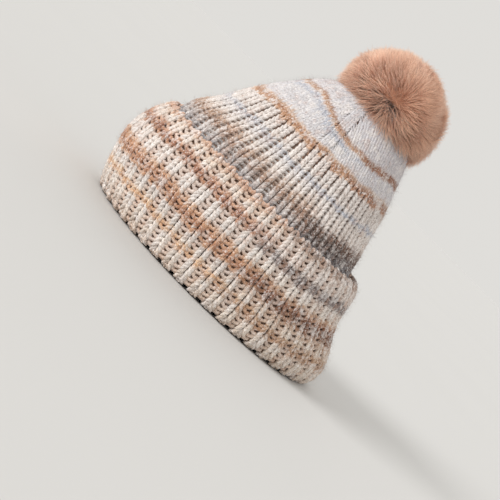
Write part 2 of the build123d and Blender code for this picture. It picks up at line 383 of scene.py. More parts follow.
class ScatterTree:
    """Geometry nodes that set a shape on each point of a guide and make one mesh of them."""

    INPUTS = (("Shape", "NodeSocketObject"), ("Finish", "NodeSocketMaterial"),
              ("Turn", "NodeSocketFloat"), ("Grow", "NodeSocketFloat"),
              ("Seed", "NodeSocketInt"))

    def __init__(self) -> None:
        """Builds the tree once; every row of stitches, hairs and fibres uses it."""
        self.tree = bpy.data.node_groups.new("set_along_guide", "GeometryNodeTree")
        face = self.tree.interface
        face.new_socket("Guide", in_out="INPUT", socket_type="NodeSocketGeometry")
        self.sockets = {name: face.new_socket(name, in_out="INPUT", socket_type=kind)
                        for name, kind in self.INPUTS}
        face.new_socket("Mesh", in_out="OUTPUT", socket_type="NodeSocketGeometry")
        start = self._node("NodeGroupInput", {}, {})
        given = start.outputs
        across = self._node("GeometryNodeInputNamedAttribute", {"data_type": "FLOAT_VECTOR"},
                            {"Name": "across"})
        outward = self._node("GeometryNodeInputNamedAttribute", {"data_type": "FLOAT_VECTOR"},
                             {"Name": "outward"})
        size = self._node("GeometryNodeInputNamedAttribute", {"data_type": "FLOAT_VECTOR"},
                          {"Name": "size"})
        axes = self._node("FunctionNodeAxesToRotation",
                          {"primary_axis": "Z", "secondary_axis": "X"},
                          {0: self._first(outward), 1: self._first(across)})
        back = self._node("ShaderNodeMath", {"operation": "MULTIPLY"},
                          {0: given["Turn"], 1: -1.0})
        turn = self._node("FunctionNodeRandomValue", {"data_type": "FLOAT"},
                          {"Min": back.outputs[0], "Max": given["Turn"],
                           "Seed": given["Seed"]})
        euler = self._node("ShaderNodeCombineXYZ", {}, {2: self._first(turn)})
        spin = self._node("FunctionNodeEulerToRotation", {}, {0: euler.outputs[0]})
        turned = self._node("FunctionNodeRotateRotation", {"rotation_space": "LOCAL"},
                            {0: axes.outputs[0], 1: spin.outputs[0]})
        least = self._node("ShaderNodeMath", {"operation": "SUBTRACT"},
                           {0: 1.0, 1: given["Grow"]})
        most = self._node("ShaderNodeMath", {"operation": "ADD"}, {0: 1.0, 1: given["Grow"]})
        grow = self._node("FunctionNodeRandomValue", {"data_type": "FLOAT"},
                          {"Min": least.outputs[0], "Max": most.outputs[0],
                           "Seed": given["Seed"]})
        scaled = self._node("ShaderNodeVectorMath", {"operation": "SCALE"},
                            {0: self._first(size), "Scale": self._first(grow)})
        shape = self._node("GeometryNodeObjectInfo", {"transform_space": "ORIGINAL"},
                           {"Object": given["Shape"]})
        placed = self._node("GeometryNodeInstanceOnPoints", {}, {
            "Points": given["Guide"], "Instance": shape.outputs["Geometry"],
            "Rotation": turned.outputs[0], "Scale": scaled.outputs[0]})
        real = self._node("GeometryNodeRealizeInstances", {}, {0: placed.outputs[0]})
        dressed = self._node("GeometryNodeSetMaterial", {},
                             {"Geometry": real.outputs[0], "Material": given["Finish"]})
        self._node("NodeGroupOutput", {}, {0: dressed.outputs[0]})

    def _node(self, kind: str, settings: dict[str, Any], inputs: dict[Any, Any]) -> Any:
        """Adds one node to the tree."""
        node = self.tree.nodes.new(kind)
        for key, value in settings.items():
            setattr(node, key, value)
        fill_sockets(self.tree.links, node, inputs)
        return node

    @staticmethod
    def _first(node: Any) -> Any:
        """A node's first output in use."""
        return next(socket for socket in node.outputs if socket.enabled)

    def run(self, name: str, guide: "Guide", shape: bpy.types.Object,
            finish: bpy.types.Material, seed: int, turn: float = 0.0,
            grow: float = 0.0) -> bpy.types.Object:
        """Sets the shape on the guide's points.

        Args:
            name: the new piece's name.
            guide: where each copy goes.
            shape: the shape that is repeated.
            finish: the material.
            seed: the seed of the random turns and sizes.
            turn: the largest random turn, in radians.
            grow: the largest random change of size.

        Returns:
            The new piece, one plain mesh.
        """
        holder = guide.holder(name + "_guide")
        values = {"Shape": shape, "Finish": finish, "Turn": turn, "Grow": grow, "Seed": seed}
        modifier = holder.modifiers.new("set", "NODES")
        modifier.node_group = self.tree
        for key, value in values.items():
            modifier[self.sockets[key].identifier] = value
        evaluated = holder.evaluated_get(bpy.context.evaluated_depsgraph_get())
        mesh = bpy.data.meshes.new_from_object(evaluated)
        holder.modifiers.remove(modifier)
        bpy.data.objects.remove(holder)
        mesh.name = name
        for extra in ("across", "outward", "size"):
            if extra in mesh.attributes:
                mesh.attributes.remove(mesh.attributes[extra])
        mesh.polygons.foreach_set("use_smooth", np.ones(len(mesh.polygons), dtype=bool))
        piece = bpy.data.objects.new(name, mesh)
        bpy.context.scene.collection.objects.link(piece)
        return piece


@dataclass
class Guide:
    """Places for copies of a shape: each has its axes, its size and its dye."""

    places: list[Array] = field(default_factory=list)
    across: list[Array] = field(default_factory=list)
    outward: list[Array] = field(default_factory=list)
    size: list[Array] = field(default_factory=list)
    dye: list[Array] = field(default_factory=list)

    def add(self, places: Array, along: Array, outward: Array, size: Any, dye: Array) -> None:
        """Adds a row of places.

        Args:
            places: where the copies go.
            along: the direction of each copy's length.
            outward: the direction of its top.
            size: its width, length and depth.
            dye: what its colour is looked up with.
        """
        top = unit(outward)
        self.places.append(places)
        self.across.append(unit(np.cross(along, top)))
        self.outward.append(top)
        self.size.append(np.broadcast_to(np.asarray(size, dtype=float), places.shape))
        self.dye.append(dye)

    def holder(self, name: str) -> bpy.types.Object:
        """A mesh of loose points that carries the guide."""
        mesh = bpy.data.meshes.new(name)
        points = np.concatenate(self.places)
        mesh.from_pydata([tuple(map(float, point)) for point in points], [], [])
        for key in ("across", "outward", "size", "dye"):
            put_vectors(mesh, key, np.concatenate(getattr(self, key)))
        piece = bpy.data.objects.new(name, mesh)
        bpy.context.scene.collection.objects.link(piece)
        return piece


# ---------------------------------------------------------------- walls of the hat


class Wall:
    """One face of a knit layer: level ovals read from a CAD node, shared out into wales."""

    def __init__(self, node: str, face: Face, low: float, high: float, side_line: float,
                 steps: int = 120) -> None:
        """Reads the ovals.

        Args:
            node: the CAD node.
            face: which of its faces.
            low: the lowest height that is read.
            high: the highest.
            side_line: how far back the line down each side runs.
            steps: how many heights are read.
        """
        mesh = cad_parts[node].data
        tree = BVHTree.FromPolygons([v.co for v in mesh.vertices],
                                    [p.vertices[:] for p in mesh.polygons])
        self.heights = np.linspace(low, high, steps)
        rows = []
        for height in self.heights:
            front = self._reach(tree, face, height, 0.0, (0, -1, 0))
            back = self._reach(tree, face, height, 0.0, (0, 1, 0))
            middle = (back - front) / 2
            half_width = self._reach(tree, face, height, middle, (1, 0, 0))
            rows.append((middle, (front + back) / 2, half_width))
        rings = np.array(rows)
        kernel = np.ones(3) / 3
        padded_rings = np.pad(rings, ((1, 1), (0, 0)), mode="reflect", reflect_type="odd")
        self.rings = np.stack([np.convolve(padded_rings[:, i], kernel, "valid")
                               for i in range(3)], 1)
        self.slopes = np.gradient(self.rings, self.heights, axis=0)
        self.shares = np.linspace(0, 1, 4 * 64 + 1)
        self.angles = np.array([self._even_angles(ring, side_line) for ring in self.rings])

    @staticmethod
    def _reach(tree: BVHTree, face: Face, height: float, middle: float,
               direction: tuple[float, float, float]) -> float:
        """How far the face is from the axis in a level direction."""
        far = 0.4
        ray = Vector(direction)
        base = Vector((0, middle if direction[0] else 0, height))
        if face is Face.OUTER:
            hit = tree.ray_cast(base + ray * far, -ray)
            return far - hit[3]
        return tree.ray_cast(base, ray)[3]

    @staticmethod
    def _even_angles(ring: Array, side_line: float) -> Array:
        """The angles round an oval at even steps of arc within each quarter."""
        middle, half_length, half_width = ring
        start = math.asin(max(-0.95, min(0.95, (side_line - middle) / half_length)))

        def quarter(first: float, last: float) -> Array:
            """The angles of one quarter."""
            turn = np.linspace(first, last, 200)
            step = np.hypot(half_width * np.sin(turn), half_length * np.cos(turn))
            arc = np.concatenate([[0], np.cumsum((step[1:] + step[:-1]) / 2)])
            return np.interp(np.linspace(0, arc[-1], 65), arc, turn)

        back = quarter(start, math.pi / 2)
        front = quarter(-math.pi / 2, start)
        return np.concatenate([back[:-1], (math.pi - back[::-1])[:-1],
                               (math.pi - front[::-1])[:-1], 2 * math.pi + front])

    def _angle(self, share: Array, height: Array) -> Array:
        """The angle of a share of the way round at a height."""
        turns = np.floor(share)
        column = (share - turns) * (len(self.shares) - 1)
        row = np.interp(height, self.heights, np.arange(len(self.heights)))
        c0 = np.clip(column.astype(int), 0, len(self.shares) - 2)
        r0 = np.clip(row.astype(int), 0, len(self.heights) - 2)
        dc, dr = column - c0, row - r0
        table = self.angles
        low = table[r0, c0] * (1 - dc) + table[r0, c0 + 1] * dc
        high = table[r0 + 1, c0] * (1 - dc) + table[r0 + 1, c0 + 1] * dc
        return low * (1 - dr) + high * dr + turns * 2 * math.pi

    def ring(self, height: Array) -> list[Array]:
        """Middle, half length and half width at a height."""
        return [np.interp(height, self.heights, self.rings[:, i]) for i in range(3)]

    def quarter_arc(self, height: float) -> float:
        """The mean length of a quarter of the way round."""
        _, length, width = (float(value) for value in self.ring(np.array(height)))
        squash = ((length - width) / (length + width)) ** 2
        return math.pi * (length + width) * (1 + 3 * squash / (10 + math.sqrt(4 - 3 * squash))) / 4

    def places(self, share: Array, height: Array, lift: Any = 0.0) -> tuple[Array, Array]:
        """Points on the wall and the directions square to it.

        Args:
            share: the way round, 0 at the left side, a quarter at the back.
            height: how high.
            lift: how far off the wall.

        Returns:
            The points and the outward directions.
        """
        share, height = np.broadcast_arrays(np.asarray(share, float), np.asarray(height, float))
        middle, length, width = self.ring(height)
        slope = [np.interp(height, self.heights, self.slopes[:, i]) for i in range(3)]
        angle = self._angle(share, height)
        cosine, sine = np.cos(angle), np.sin(angle)
        points = np.stack([width * cosine, middle + length * sine, height], -1)
        outward = unit(np.stack([cosine / width, sine / length,
                                 -(cosine ** 2 * slope[2] / width + sine ** 2 * slope[1] / length
                                   + sine * slope[0] / length)], -1))
        return points + outward * np.asarray(lift)[..., None], outward

    def frames(self, share: Array, height: Array, lift: Any = 0.0,
               share_slope: Any = 0.0) -> tuple[Array, Array, Array]:
        """Points, the direction up the wale, and outward."""
        points, outward = self.places(share, height, lift)
        step = 0.0005
        higher, _ = self.places(np.asarray(share) + np.asarray(share_slope) * step,
                                np.asarray(height) + step, lift)
        lower, _ = self.places(np.asarray(share) - np.asarray(share_slope) * step,
                               np.asarray(height) - step, lift)
        return points, unit(higher - lower), outward


class Dye:
    """The space-dyed yarn's lay: what each stitch looks its colour up with."""

    def __init__(self, seed: int) -> None:
        """Starts the random draws."""
        self.draws = np.random.default_rng(seed)
        self.phases = self.draws.uniform(0, 2 * math.pi, 6)

    def at(self, places: Array, share: Array) -> Array:
        """The dye of stitches.

        Args:
            places: where they are.
            share: how far round the hat.

        Returns:
            For each how far off its height it is looked up, how far back it is, and a random
            number.
        """
        height = places[:, 2] / MM
        turn = 2 * math.pi * share
        wave = (np.sin(3 * turn + self.phases[0]) * 0.8 + np.sin(7 * turn + self.phases[1]) * 0.6
                + np.sin(17 * turn + self.phases[2]) * 0.5)
        ahead = smooth_step(5, -40, places[:, 1] / MM)
        drop = 11 * ahead * smooth_step(138, 159, height)
        back = smooth_step(-25, 55, places[:, 1] / MM + 9 * np.sin(5 * turn + height * 0.11))
        return np.stack([(wave - drop) / DYE_SPAN, back, self.draws.random(len(places))], 1)


# ---------------------------------------------------------------- finishes


def stops(rows: Iterable[tuple[float, int, int, int]]) -> list[tuple[float, Colour]]:
    """Ramp stops from heights in millimetres and display colours."""
    return [(height / DYE_SPAN, rgb(red, green, blue)) for height, red, green, blue in rows]


@dataclass(frozen=True)
class YarnDye:
    """The colours of the yarn by height, at the front and at the back."""

    front: tuple[tuple[float, int, int, int], ...]
    back: tuple[tuple[float, int, int, int], ...]


CUFF_DYE = YarnDye(
    front=((0, 214, 190, 170), (5, 218, 202, 188), (17, 228, 218, 208), (20.5, 222, 178, 138),
           (23.5, 222, 188, 154), (26, 228, 218, 208), (33, 216, 206, 200), (35, 206, 160, 124),
           (38.5, 172, 120, 90), (43, 198, 146, 110), (47, 212, 174, 144), (50, 230, 222, 216),
           (60, 228, 218, 210), (62.5, 176, 130, 102), (66.5, 156, 104, 80), (70, 204, 160, 132),
           (72.5, 228, 216, 206), (78, 226, 208, 192), (81, 212, 176, 152), (84, 200, 160, 136)),
    back=((0, 204, 184, 166), (6, 220, 206, 192), (14, 226, 214, 202), (18, 178, 142, 114),
          (23, 190, 158, 130), (26, 222, 208, 194), (33, 196, 170, 150), (35.5, 138, 98, 74),
          (39, 112, 72, 52), (43, 148, 100, 74), (48, 204, 170, 142), (50, 232, 222, 212),
          (57, 228, 218, 210), (59.5, 134, 122, 120), (64, 120, 108, 106), (67, 216, 204, 196),
          (77, 226, 214, 206), (80, 170, 148, 134), (84, 146, 130, 122)))

BODY_DYE = YarnDye(
    front=((70, 168, 166, 168), (84, 160, 158, 160), (91, 178, 166, 160), (95, 160, 130, 112),
           (101, 186, 156, 134), (107, 222, 212, 204), (114, 214, 210, 210),
           (116, 186, 188, 196), (119, 224, 216, 210), (131, 224, 214, 208),
           (133, 206, 164, 130), (136, 170, 120, 86), (138.5, 202, 166, 138),
           (140.5, 214, 210, 212), (146, 212, 210, 213), (149, 178, 182, 194),
           (151, 214, 211, 214), (152.4, 198, 160, 132), (155, 168, 124, 96),
           (157, 214, 209, 211), (174, 210, 209, 214), (184, 214, 190, 180)),
    back=((70, 122, 118, 122), (84, 114, 110, 114), (90, 108, 94, 90), (94, 94, 70, 58),
          (99, 128, 98, 82), (101, 218, 206, 198), (113, 224, 215, 209), (116, 176, 182, 196),
          (119, 223, 215, 210), (131, 214, 204, 198), (133, 176, 130, 102), (136, 148, 102, 76),
          (139, 196, 168, 150), (141, 208, 204, 207), (150.5, 206, 203, 208),
          (152.5, 150, 102, 74), (155.5, 142, 94, 66), (158, 206, 201, 204),
          (176, 206, 203, 209), (184, 212, 186, 176)))


@dataclass(frozen=True)
class YarnFinish:
    """Brushed wool-blend yarn with the dye's bands, flecks and a ply twist, and copies of it
    darkened or tinted tan as painted shade.
    """

    name: str
    dye: YarnDye
    # painted shade: a level below 1 makes a darker copy of the yarn
    painted_shade: float = 1.0
    # painted shade: a warm tan tint for yarn that sits in the valleys
    valley_shade_tint: float = 0.0
    marl: float = 1.0
    uneven: float = 0.016

    def make(self) -> bpy.types.Material:
        """Builds the material."""
        shader = Shader(self.name, roughness=0.92, sheen=0.25)
        offset, back, chance = shader.parts("dye")
        cosine, sine, along = shader.parts("strand")
        _, _, up = shader.place()
        drift = (shader.noise(55, 2, 0.6) - 0.5) * 0.012 + (chance - 0.5) * self.uneven
        height = up * (1 / (DYE_SPAN * MM)) + offset + drift
        front_colour = shader.ramp(height, stops(self.dye.front))
        back_colour = shader.ramp(height, stops(self.dye.back))
        share = back + (shader.noise(38, 2) - 0.5) * 0.9 + (chance - 0.5) * 0.25
        colour = shader.mixed(share.between(0.25, 0.75), front_colour, back_colour)
        patch = shader.noise(95, 2, 0.6) + (chance - 0.5) * 0.16
        colour = shader.mixed(patch.between(0.56, 0.68) * 0.28, colour, rgb(186, 146, 124))
        colour = shader.mixed((1 - patch.between(0.36, 0.46)) * 0.55, colour, rgb(240, 233, 229))
        marl = shader.noise(420, 3, 0.65).between(0.5, 0.68)
        colour = shader.mixed(marl * 0.30 * self.marl, colour, rgb(160, 126, 108))
        pale = shader.noise(330, 2, 0.6).between(0.52, 0.68)
        colour = shader.mixed(pale * 0.5, colour, rgb(242, 237, 235))
        speck = shader.noise(780, 2, 0.7)
        colour = shader.mixed(speck.between(0.54, 0.64) * 0.42 * self.marl, colour,
                              rgb(126, 96, 82))
        colour = shader.mixed((1 - speck.between(0.36, 0.46)) * 0.5, colour, rgb(248, 243, 240))
        # painted shade: the tan tint of the purl bars that sit in the valleys
        if self.valley_shade_tint:
            colour = shader.mixed(self.valley_shade_tint, colour, rgb(196, 144, 106))
        fibres = shader.noise(2600, 2, 0.7)
        # painted shade: the level is scaled down for the darker copies of the yarn
        level = (chance * 0.16 + fibres * 0.24 + 0.86) * self.painted_shade
        colour = shader.shaded(colour, level)
        twist = (sine.turn_with(cosine) * 3 + along * 16).sine()
        relief = twist * 0.35 + fibres * 0.9 + shader.noise(900, 2, 0.6) * 0.5
        return shader.finish(colour, relief, 0.6, 0.0005)


@dataclass(frozen=True)
class FeltFinish:
    """Pressed felt, wadding or woven cloth: a colour with a fibrous or woven relief."""

    name: str
    base: Colour
    fleck: Colour
    weave: float = 0.0
    scale: float = 700.0

    def make(self) -> bpy.types.Material:
        """Builds the material."""
        shader = Shader(self.name, roughness=0.9, sheen=0.2)
        fibres = shader.noise(self.scale, 4, 0.7)
        colour = shader.mixed(fibres.between(0.4, 0.7), self.base, self.fleck)
        relief = fibres
        if self.weave:
            across, deep, up = shader.place()
            turn = 2 * math.pi / self.weave
            threads = ((across + deep) * turn).sine() * (up * turn).sine()
            relief = fibres * 0.4 + threads * 0.6
            colour = shader.mixed(threads.between(-0.4, 0.9) * 0.4, colour, self.fleck)
        return shader.finish(colour, relief, 0.5, 0.0002)


@dataclass(frozen=True)
class GroundFinish:
    """The body's ground: dark between the ribs and beside the decrease lines as painted shade,
    pale under the plain crown.
    """

    name: str
    dark: Colour
    pale: Colour
    change: float
    side_line: float
    line_half: float = 5.4 * MM

    def make(self) -> bpy.types.Material:
        """Builds the material."""
        shader = Shader(self.name, roughness=0.92, sheen=0.2)
        across, deep, up = shader.place()
        crown = up.between(self.change - 3 * MM, self.change + 3 * MM)
        near_side = 1 - ((deep - self.side_line) ** 2).between(
            self.line_half ** 2, (self.line_half * 1.3) ** 2)
        near_middle = 1 - (across ** 2).between(self.line_half ** 2, (self.line_half * 1.3) ** 2)
        open_part = crown * (1 - near_side) * (1 - near_middle)
        fibres = shader.noise(380, 4, 0.7)
        # painted shade: the dark colour fills the gaps between the ribs and beside the decrease
        # lines
        colour = shader.mixed(open_part, self.dark, self.pale)
        colour = shader.mixed(fibres.between(0.45, 0.75) * 0.4, colour, rgb(150, 130, 118))
        return shader.finish(colour, fibres, 0.5, 0.0003)


@dataclass(frozen=True)
class ThreadFinish:
    """Waxed sewing thread with its ply twist."""

    name: str
    base: Colour
    turns: float = 24.0

    def make(self) -> bpy.types.Material:
        """Builds the material."""
        shader = Shader(self.name, roughness=0.6)
        cosine, sine, along = shader.parts("strand")
        twist = (sine.turn_with(cosine) * 2 + along * self.turns).sine()
        # painted shade: the thread is darker in the grooves of its twist
        dark = tuple(level * 0.6 for level in self.base)
        colour = shader.mixed(twist.between(-0.2, 1.0), dark, self.base)
        return shader.finish(colour, twist * 0.6 + shader.noise(3000, 2) * 0.4, 0.6, 0.0002)


@dataclass(frozen=True)
class MetalFinish:
    """Plated or bright metal with fine handling marks."""

    name: str
    base: Colour
    roughness: float

    def make(self) -> bpy.types.Material:
        """Builds the material."""
        shader = Shader(self.name, roughness=self.roughness, metallic=1.0)
        worn = shader.noise(600, 3, 0.6)
        dull = tuple(level * 0.72 for level in self.base)
        colour = shader.mixed(worn.between(0.45, 0.75), self.base, dull)
        fill_sockets(shader.tree.links, shader.surface,
                     {"Roughness": worn * 0.2 + (self.roughness - 0.08)})
        return shader.finish(colour, shader.noise(2400, 2), 0.08, 0.0001)


@dataclass(frozen=True)
class FurFinish:
    """Long soft pile, darker at the roots as painted shade deep in the pile, with locks of
    slightly different tone.
    """

    name: str
    root: Colour
    middle: Colour
    tip: Colour

    def make(self) -> bpy.types.Material:
        """Builds the material."""
        shader = Shader(self.name, roughness=0.55, sheen=0.3)
        _, _, along = shader.parts("strand")
        lock, _, chance = shader.parts("dye")
        tone = along + (lock - 0.5) * 0.5 + (chance - 0.5) * 0.35
        # painted shade: the ramp darkens each hair towards its root, deep in the pile
        colour = shader.ramp(tone, [(0.0, self.root), (0.45, self.middle), (0.95, self.tip)])
        level = lock * 0.25 + chance * 0.2 + 0.76
        return shader.finish(shader.shaded(colour, level))


# ---------------------------------------------------------------- shapes that are repeated


def lobe_shape(name: str, sides: int, rings: int, arch: float) -> bpy.types.Object:
    """A plump piece of yarn, one unit wide, long and deep, whose ends tuck in.

    Args:
        name: the shape's name.
        sides: the points round it.
        rings: the rings along it.
        arch: how far its ends sink.

    Returns:
        The shape.
    """
    along = np.linspace(0, 1, rings)
    path = np.stack([0 * along, along * 0.86 - 0.43, -arch * (2 * along - 1) ** 2], 1)
    radii = 0.5 * np.sin(math.pi * (0.13 + 0.74 * along)) ** 0.62
    points, faces, facts = swept(path, radii, sides)
    piece = mesh_piece(name, points, faces)
    put_vectors(piece.data, "strand", facts)
    return facing_out(piece)


def arc_shape(name: str) -> bpy.types.Object:
    """The bar of a purl stitch, in metres: a shallow curve that bulges in its middle."""
    along = np.linspace(0, 1, 7)
    out = 2 * along - 1
    path = np.stack([out * 3.7, 0.8 * np.abs(out) ** 1.6 - 0.35, 0.75 - 1.5 * out ** 2], 1)
    radii = np.minimum(1.22 + 2.4 * out ** 2, 1.95)
    points, faces, facts = swept(path * MM, radii * MM, 6)
    piece = mesh_piece(name, points, faces)
    put_vectors(piece.data, "strand", facts)
    return facing_out(piece)


def hair_shape(name: str, rings: int, bend: float, thick: float) -> bpy.types.Object:
    """A tapered three-sided hair of unit length that rises and bends over."""
    along = np.linspace(0, 1, rings)
    path = np.stack([0 * along, bend * along ** 1.7, along - 0.28 * bend * along ** 2], 1)
    radii = thick * (1 - along) ** 0.75 + thick * 0.12
    points, faces, facts = swept(path, radii, 3)
    piece = mesh_piece(name, points, faces)
    put_vectors(piece.data, "strand", facts)
    return facing_out(piece)


# ---------------------------------------------------------------- the knit


def strip(name: str, lines: Sequence[tuple[Array, Array]], half: float) -> bpy.types.Object:
    """A closed sheet of cloth from level rows of points and their outward directions.

    Args:
        name: the piece's name.
        lines: for each row the points of its middle and the outward directions.
        half: half the cloth's thickness.

    Returns:
        The sheet.
    """
    rows, columns = len(lines), len(lines[0][0])
    middle = np.stack([line[0] for line in lines])
    outward = np.stack([line[1] for line in lines])
    points = np.concatenate([(middle + outward * half).reshape(-1, 3),
                             (middle - outward * half).reshape(-1, 3)])
    inner = rows * columns
    faces = grid_faces(rows, columns, True)
    faces += [tuple(reversed(face)) for face in grid_faces(rows, columns, True, inner)]
    last = (rows - 1) * columns
    for i in range(columns):
        j = (i + 1) % columns
        faces.append((j, i, inner + i, inner + j))
        faces.append((last + i, last + j, inner + last + j, inner + last + i))
    return facing_out(mesh_piece(name, points, faces))


@dataclass
class Knit:
    """The two layers of rib knit, and everything worked on them."""

    scatter: ScatterTree
    ribs: int = 44
    side_line: float = -7 * MM
    cuff_top: float = 84 * MM
    fold_height: float = 6.5 * MM
    cuff_course: float = 3.65 * MM
    body_course: float = 3.4 * MM
    crown_course: float = 2.65 * MM
    band_height: float = 134 * MM
    crown_edge: float = 184.9 * MM
    top_wales: int = 30
    wale: float = 4.3 * MM
    decrease_course: float = 2.8 * MM
    decrease_width: float = 5.0 * MM
    decrease_taper: float = 0.022
    decrease_gap: float = 0.45 * MM
    inner_course: float = 4.6 * MM
    inner_top: float = 174 * MM
    crown_lift: float = 0.1 * MM
    bar_rows: int = 13
    leg_width: float = 0.74
    plump_extra: float = 0.2
    leg_length: float = 1.95
    gather_hole: float = 4.2 * MM
    yarn_depth: float = 3.3 * MM
    sunk: float = 0.9 * MM

    def __post_init__(self) -> None:
        """Reads the walls and makes the shapes and finishes."""
        self.cuff_wall = Wall("cuff", Face.OUTER, 0.4 * MM, 83.6 * MM, self.side_line)
        self.body_wall = Wall("crown_shell", Face.OUTER, 5 * MM, 185.4 * MM, self.side_line, 200)
        self.inner_wall = Wall("crown_shell", Face.INNER, 5 * MM, 178 * MM, self.side_line, 180)
        self.lobe = lobe_shape("yarn_lobe", 6, 5, 0.22)
        self.bar = arc_shape("purl_bar")
        self.dye = Dye(11)
        self.draws = np.random.default_rng(5)
        self.cuff_yarn = YarnFinish("cuff_knit", CUFF_DYE).make()
        # painted shade: the cuff's purl bars sit in the valleys, so their copy of the yarn is a
        # little darker and tinted tan
        self.cuff_purl = YarnFinish("cuff_purl", CUFF_DYE, painted_shade=0.96, valley_shade_tint=0.28).make()
        self.body_yarn = YarnFinish("body_knit", BODY_DYE).make()
        # painted shade: the crown's knit is a slightly darker copy of the body yarn
        self.crown_yarn = YarnFinish("crown_knit", BODY_DYE, painted_shade=0.95, marl=0.5,
                                     uneven=0.006).make()
        # painted shade: the body's purl bars deep between the ribs are a much darker copy of the
        # yarn
        self.body_purl = YarnFinish("body_purl", BODY_DYE, painted_shade=0.68).make()
        # painted shade: the ribs inside the hat are a darker copy of the cuff yarn
        self.lining_yarn = YarnFinish("lining_knit", CUFF_DYE, painted_shade=0.9).make()
        # painted shade: the dark brown ground under the cuff's stitches stands for the shade in
        # the gaps between them
        self.ground = FeltFinish("knit_ground", rgb(96, 74, 60), rgb(150, 116, 92), 0.0,
                                 380).make()
        # painted shade: the body's ground is dark in the gaps between the ribs and beside the
        # decrease lines
        self.body_ground = GroundFinish("body_ground", rgb(116, 92, 78), rgb(198, 194, 196),
                                        self.band_height + 3 * MM, self.side_line).make()

    def _jitter(self, count: int, amount: float) -> Array:
        """Small random numbers."""
        return self.draws.uniform(-amount, amount, count)

    def legs(self, guide: Guide, points: Array, along: Array, outward: Array, share: Array,
             half_width: Any, course: float, lean: Lean, tilt: float = 27.0,
             plump: float = 1.0, depth: float = 1.0) -> None:
        """Adds the two legs of a row of knit stitches.

        Args:
            guide: the guide that they go in.
            points: the stitches' middles.
            along: up the wale at each.
            outward: away from the fabric.
            share: how far round each is.
            half_width: half of a wale's width.
            course: the height of a course.
            lean: whether the legs meet below or above.
            tilt: the legs' lean, in degrees.
            plump: how long the legs are.
            depth: how deep they are.
        """
        across = unit(np.cross(along, outward))
        half = np.broadcast_to(np.asarray(half_width, float), (len(points),))
        for side in (-1, 1):
            angle = np.radians(tilt + self._jitter(len(points), 4)) * lean.value * side
            turned = along * np.cos(angle)[:, None] + across * np.sin(angle)[:, None]
            slack = self._jitter(len(points), 0.12 * MM)
            centre = points + across * (side * half * 0.47 + slack)[:, None]
            centre = centre + outward * self._jitter(len(points), 0.15 * MM)[:, None]
            grow = 1 + self._jitter(len(points), 0.07)
            fullness = self.leg_width + (self.plump_extra if plump > 1 else 0)
            size = np.stack([half * fullness * grow, course * self.leg_length * plump * grow,
                             np.full(len(points), self.yarn_depth * depth)], 1)
            guide.add(centre, turned, outward, size, self.dye.at(points, share))

    def fold(self, share: Array, turn: float, sunk: float) -> tuple[Array, Array, Array]:
        """Places round the fold at the rim.

        Args:
            share: how far round the hat.
            turn: how far round the fold, 0 on the outside and 180 inside.
            sunk: how deep below the fabric's face.

        Returns:
            Points, the direction up the wale as it leaves the cuff, and outward.
        """
        outside, _ = self.cuff_wall.places(share, self.fold_height)
        inside, _ = self.inner_wall.places(share, self.fold_height)
        level = unit((outside - inside) * np.array([1, 1, 0]))
        reach = np.linalg.norm(outside - inside, axis=1)[:, None] / 2 - sunk
        drop = self.fold_height - sunk
        angle = math.radians(turn)
        middle = (outside + inside) / 2
        points = middle + level * reach * math.cos(angle) - UP * drop * math.sin(angle)
        along = unit(level * reach * math.sin(angle) + UP * drop * math.cos(angle))
        outward = unit(level * math.cos(angle) / reach - UP * math.sin(angle) / drop)
        return points, along, outward

    def pitch(self, wall: Wall, height: float) -> float:
        """The distance from one rib to the next at a height."""
        return wall.quarter_arc(height) * 4 / self.ribs

    def purl_slant(self, row: int, count: int) -> Array:
        """How far the purl bars of a row lean, one way and the other by turns."""
        return (0.30 if row % 2 else -0.30) + self._jitter(count, 0.12)

    def cuff_rows(self) -> list[float]:
        """The heights of the cuff's courses, above the fold."""
        first = self.fold_height + self.cuff_course * 0.5
        count = int((self.cuff_top - 1.5 * MM - first) / self.cuff_course) + 1
        step = (self.cuff_top - 2.0 * MM - first) / (count - 1)
        return [first + step * i for i in range(count)]

    def make_cuff(self) -> list[bpy.types.Object]:
        """The cuff's sheet, its knit ribs, its purl valleys and its upper edge."""
        ribs = (np.arange(self.ribs) + 0.5) / self.ribs
        valleys = np.arange(self.ribs) / self.ribs
        knit, purl = Guide(), Guide()
        for row, height in enumerate(self.cuff_rows()):
            pitch = self.pitch(self.cuff_wall, height)
            half = pitch * 0.35
            points, along, outward = self.cuff_wall.frames(ribs, height, -self.sunk)
            self.legs(knit, points, along, outward, ribs, half, self.cuff_course, Lean.UP)
            points, along, outward = self.cuff_wall.frames(valleys, height, -self.sunk - 1.2 * MM)
            stretch = pitch / (13.8 * MM)
            slant = self.purl_slant(row, len(points))
            across = unit(np.cross(along, outward))
            purl.add(points, along + across * slant[:, None], outward,
                     (0.72 * stretch, 1, 1), self.dye.at(points, valleys))
        for turn in FOLD_TURNS:
            sunk = self.sunk + 2.3 * MM * math.sin(math.radians(turn))
            points, along, outward = self.fold(ribs, turn, sunk)
            pitch = self.pitch(self.cuff_wall, self.fold_height)
            self.legs(knit, points, along, outward, ribs, pitch * 0.33, self.cuff_course, Lean.UP)
            points, along, outward = self.fold(valleys, turn, sunk + 1.3 * MM)
            purl.add(points, along, outward, (0.7, 1, 1), self.dye.at(points, valleys))
        edge = Guide()
        count = self.ribs * 4
        around = (np.arange(count) + 0.5) / count
        points, along, outward = self.cuff_wall.frames(around, self.cuff_top - 1.9 * MM,
                                                       -2.5 * MM)
        across = unit(np.cross(along, outward))
        lean = across * 0.9 + along * 0.35
        edge.add(points, lean, outward, (1.9 * MM, 4.7 * MM, 2.9 * MM),
                 self.dye.at(points, around))
        sheet = self.cuff_sheet()
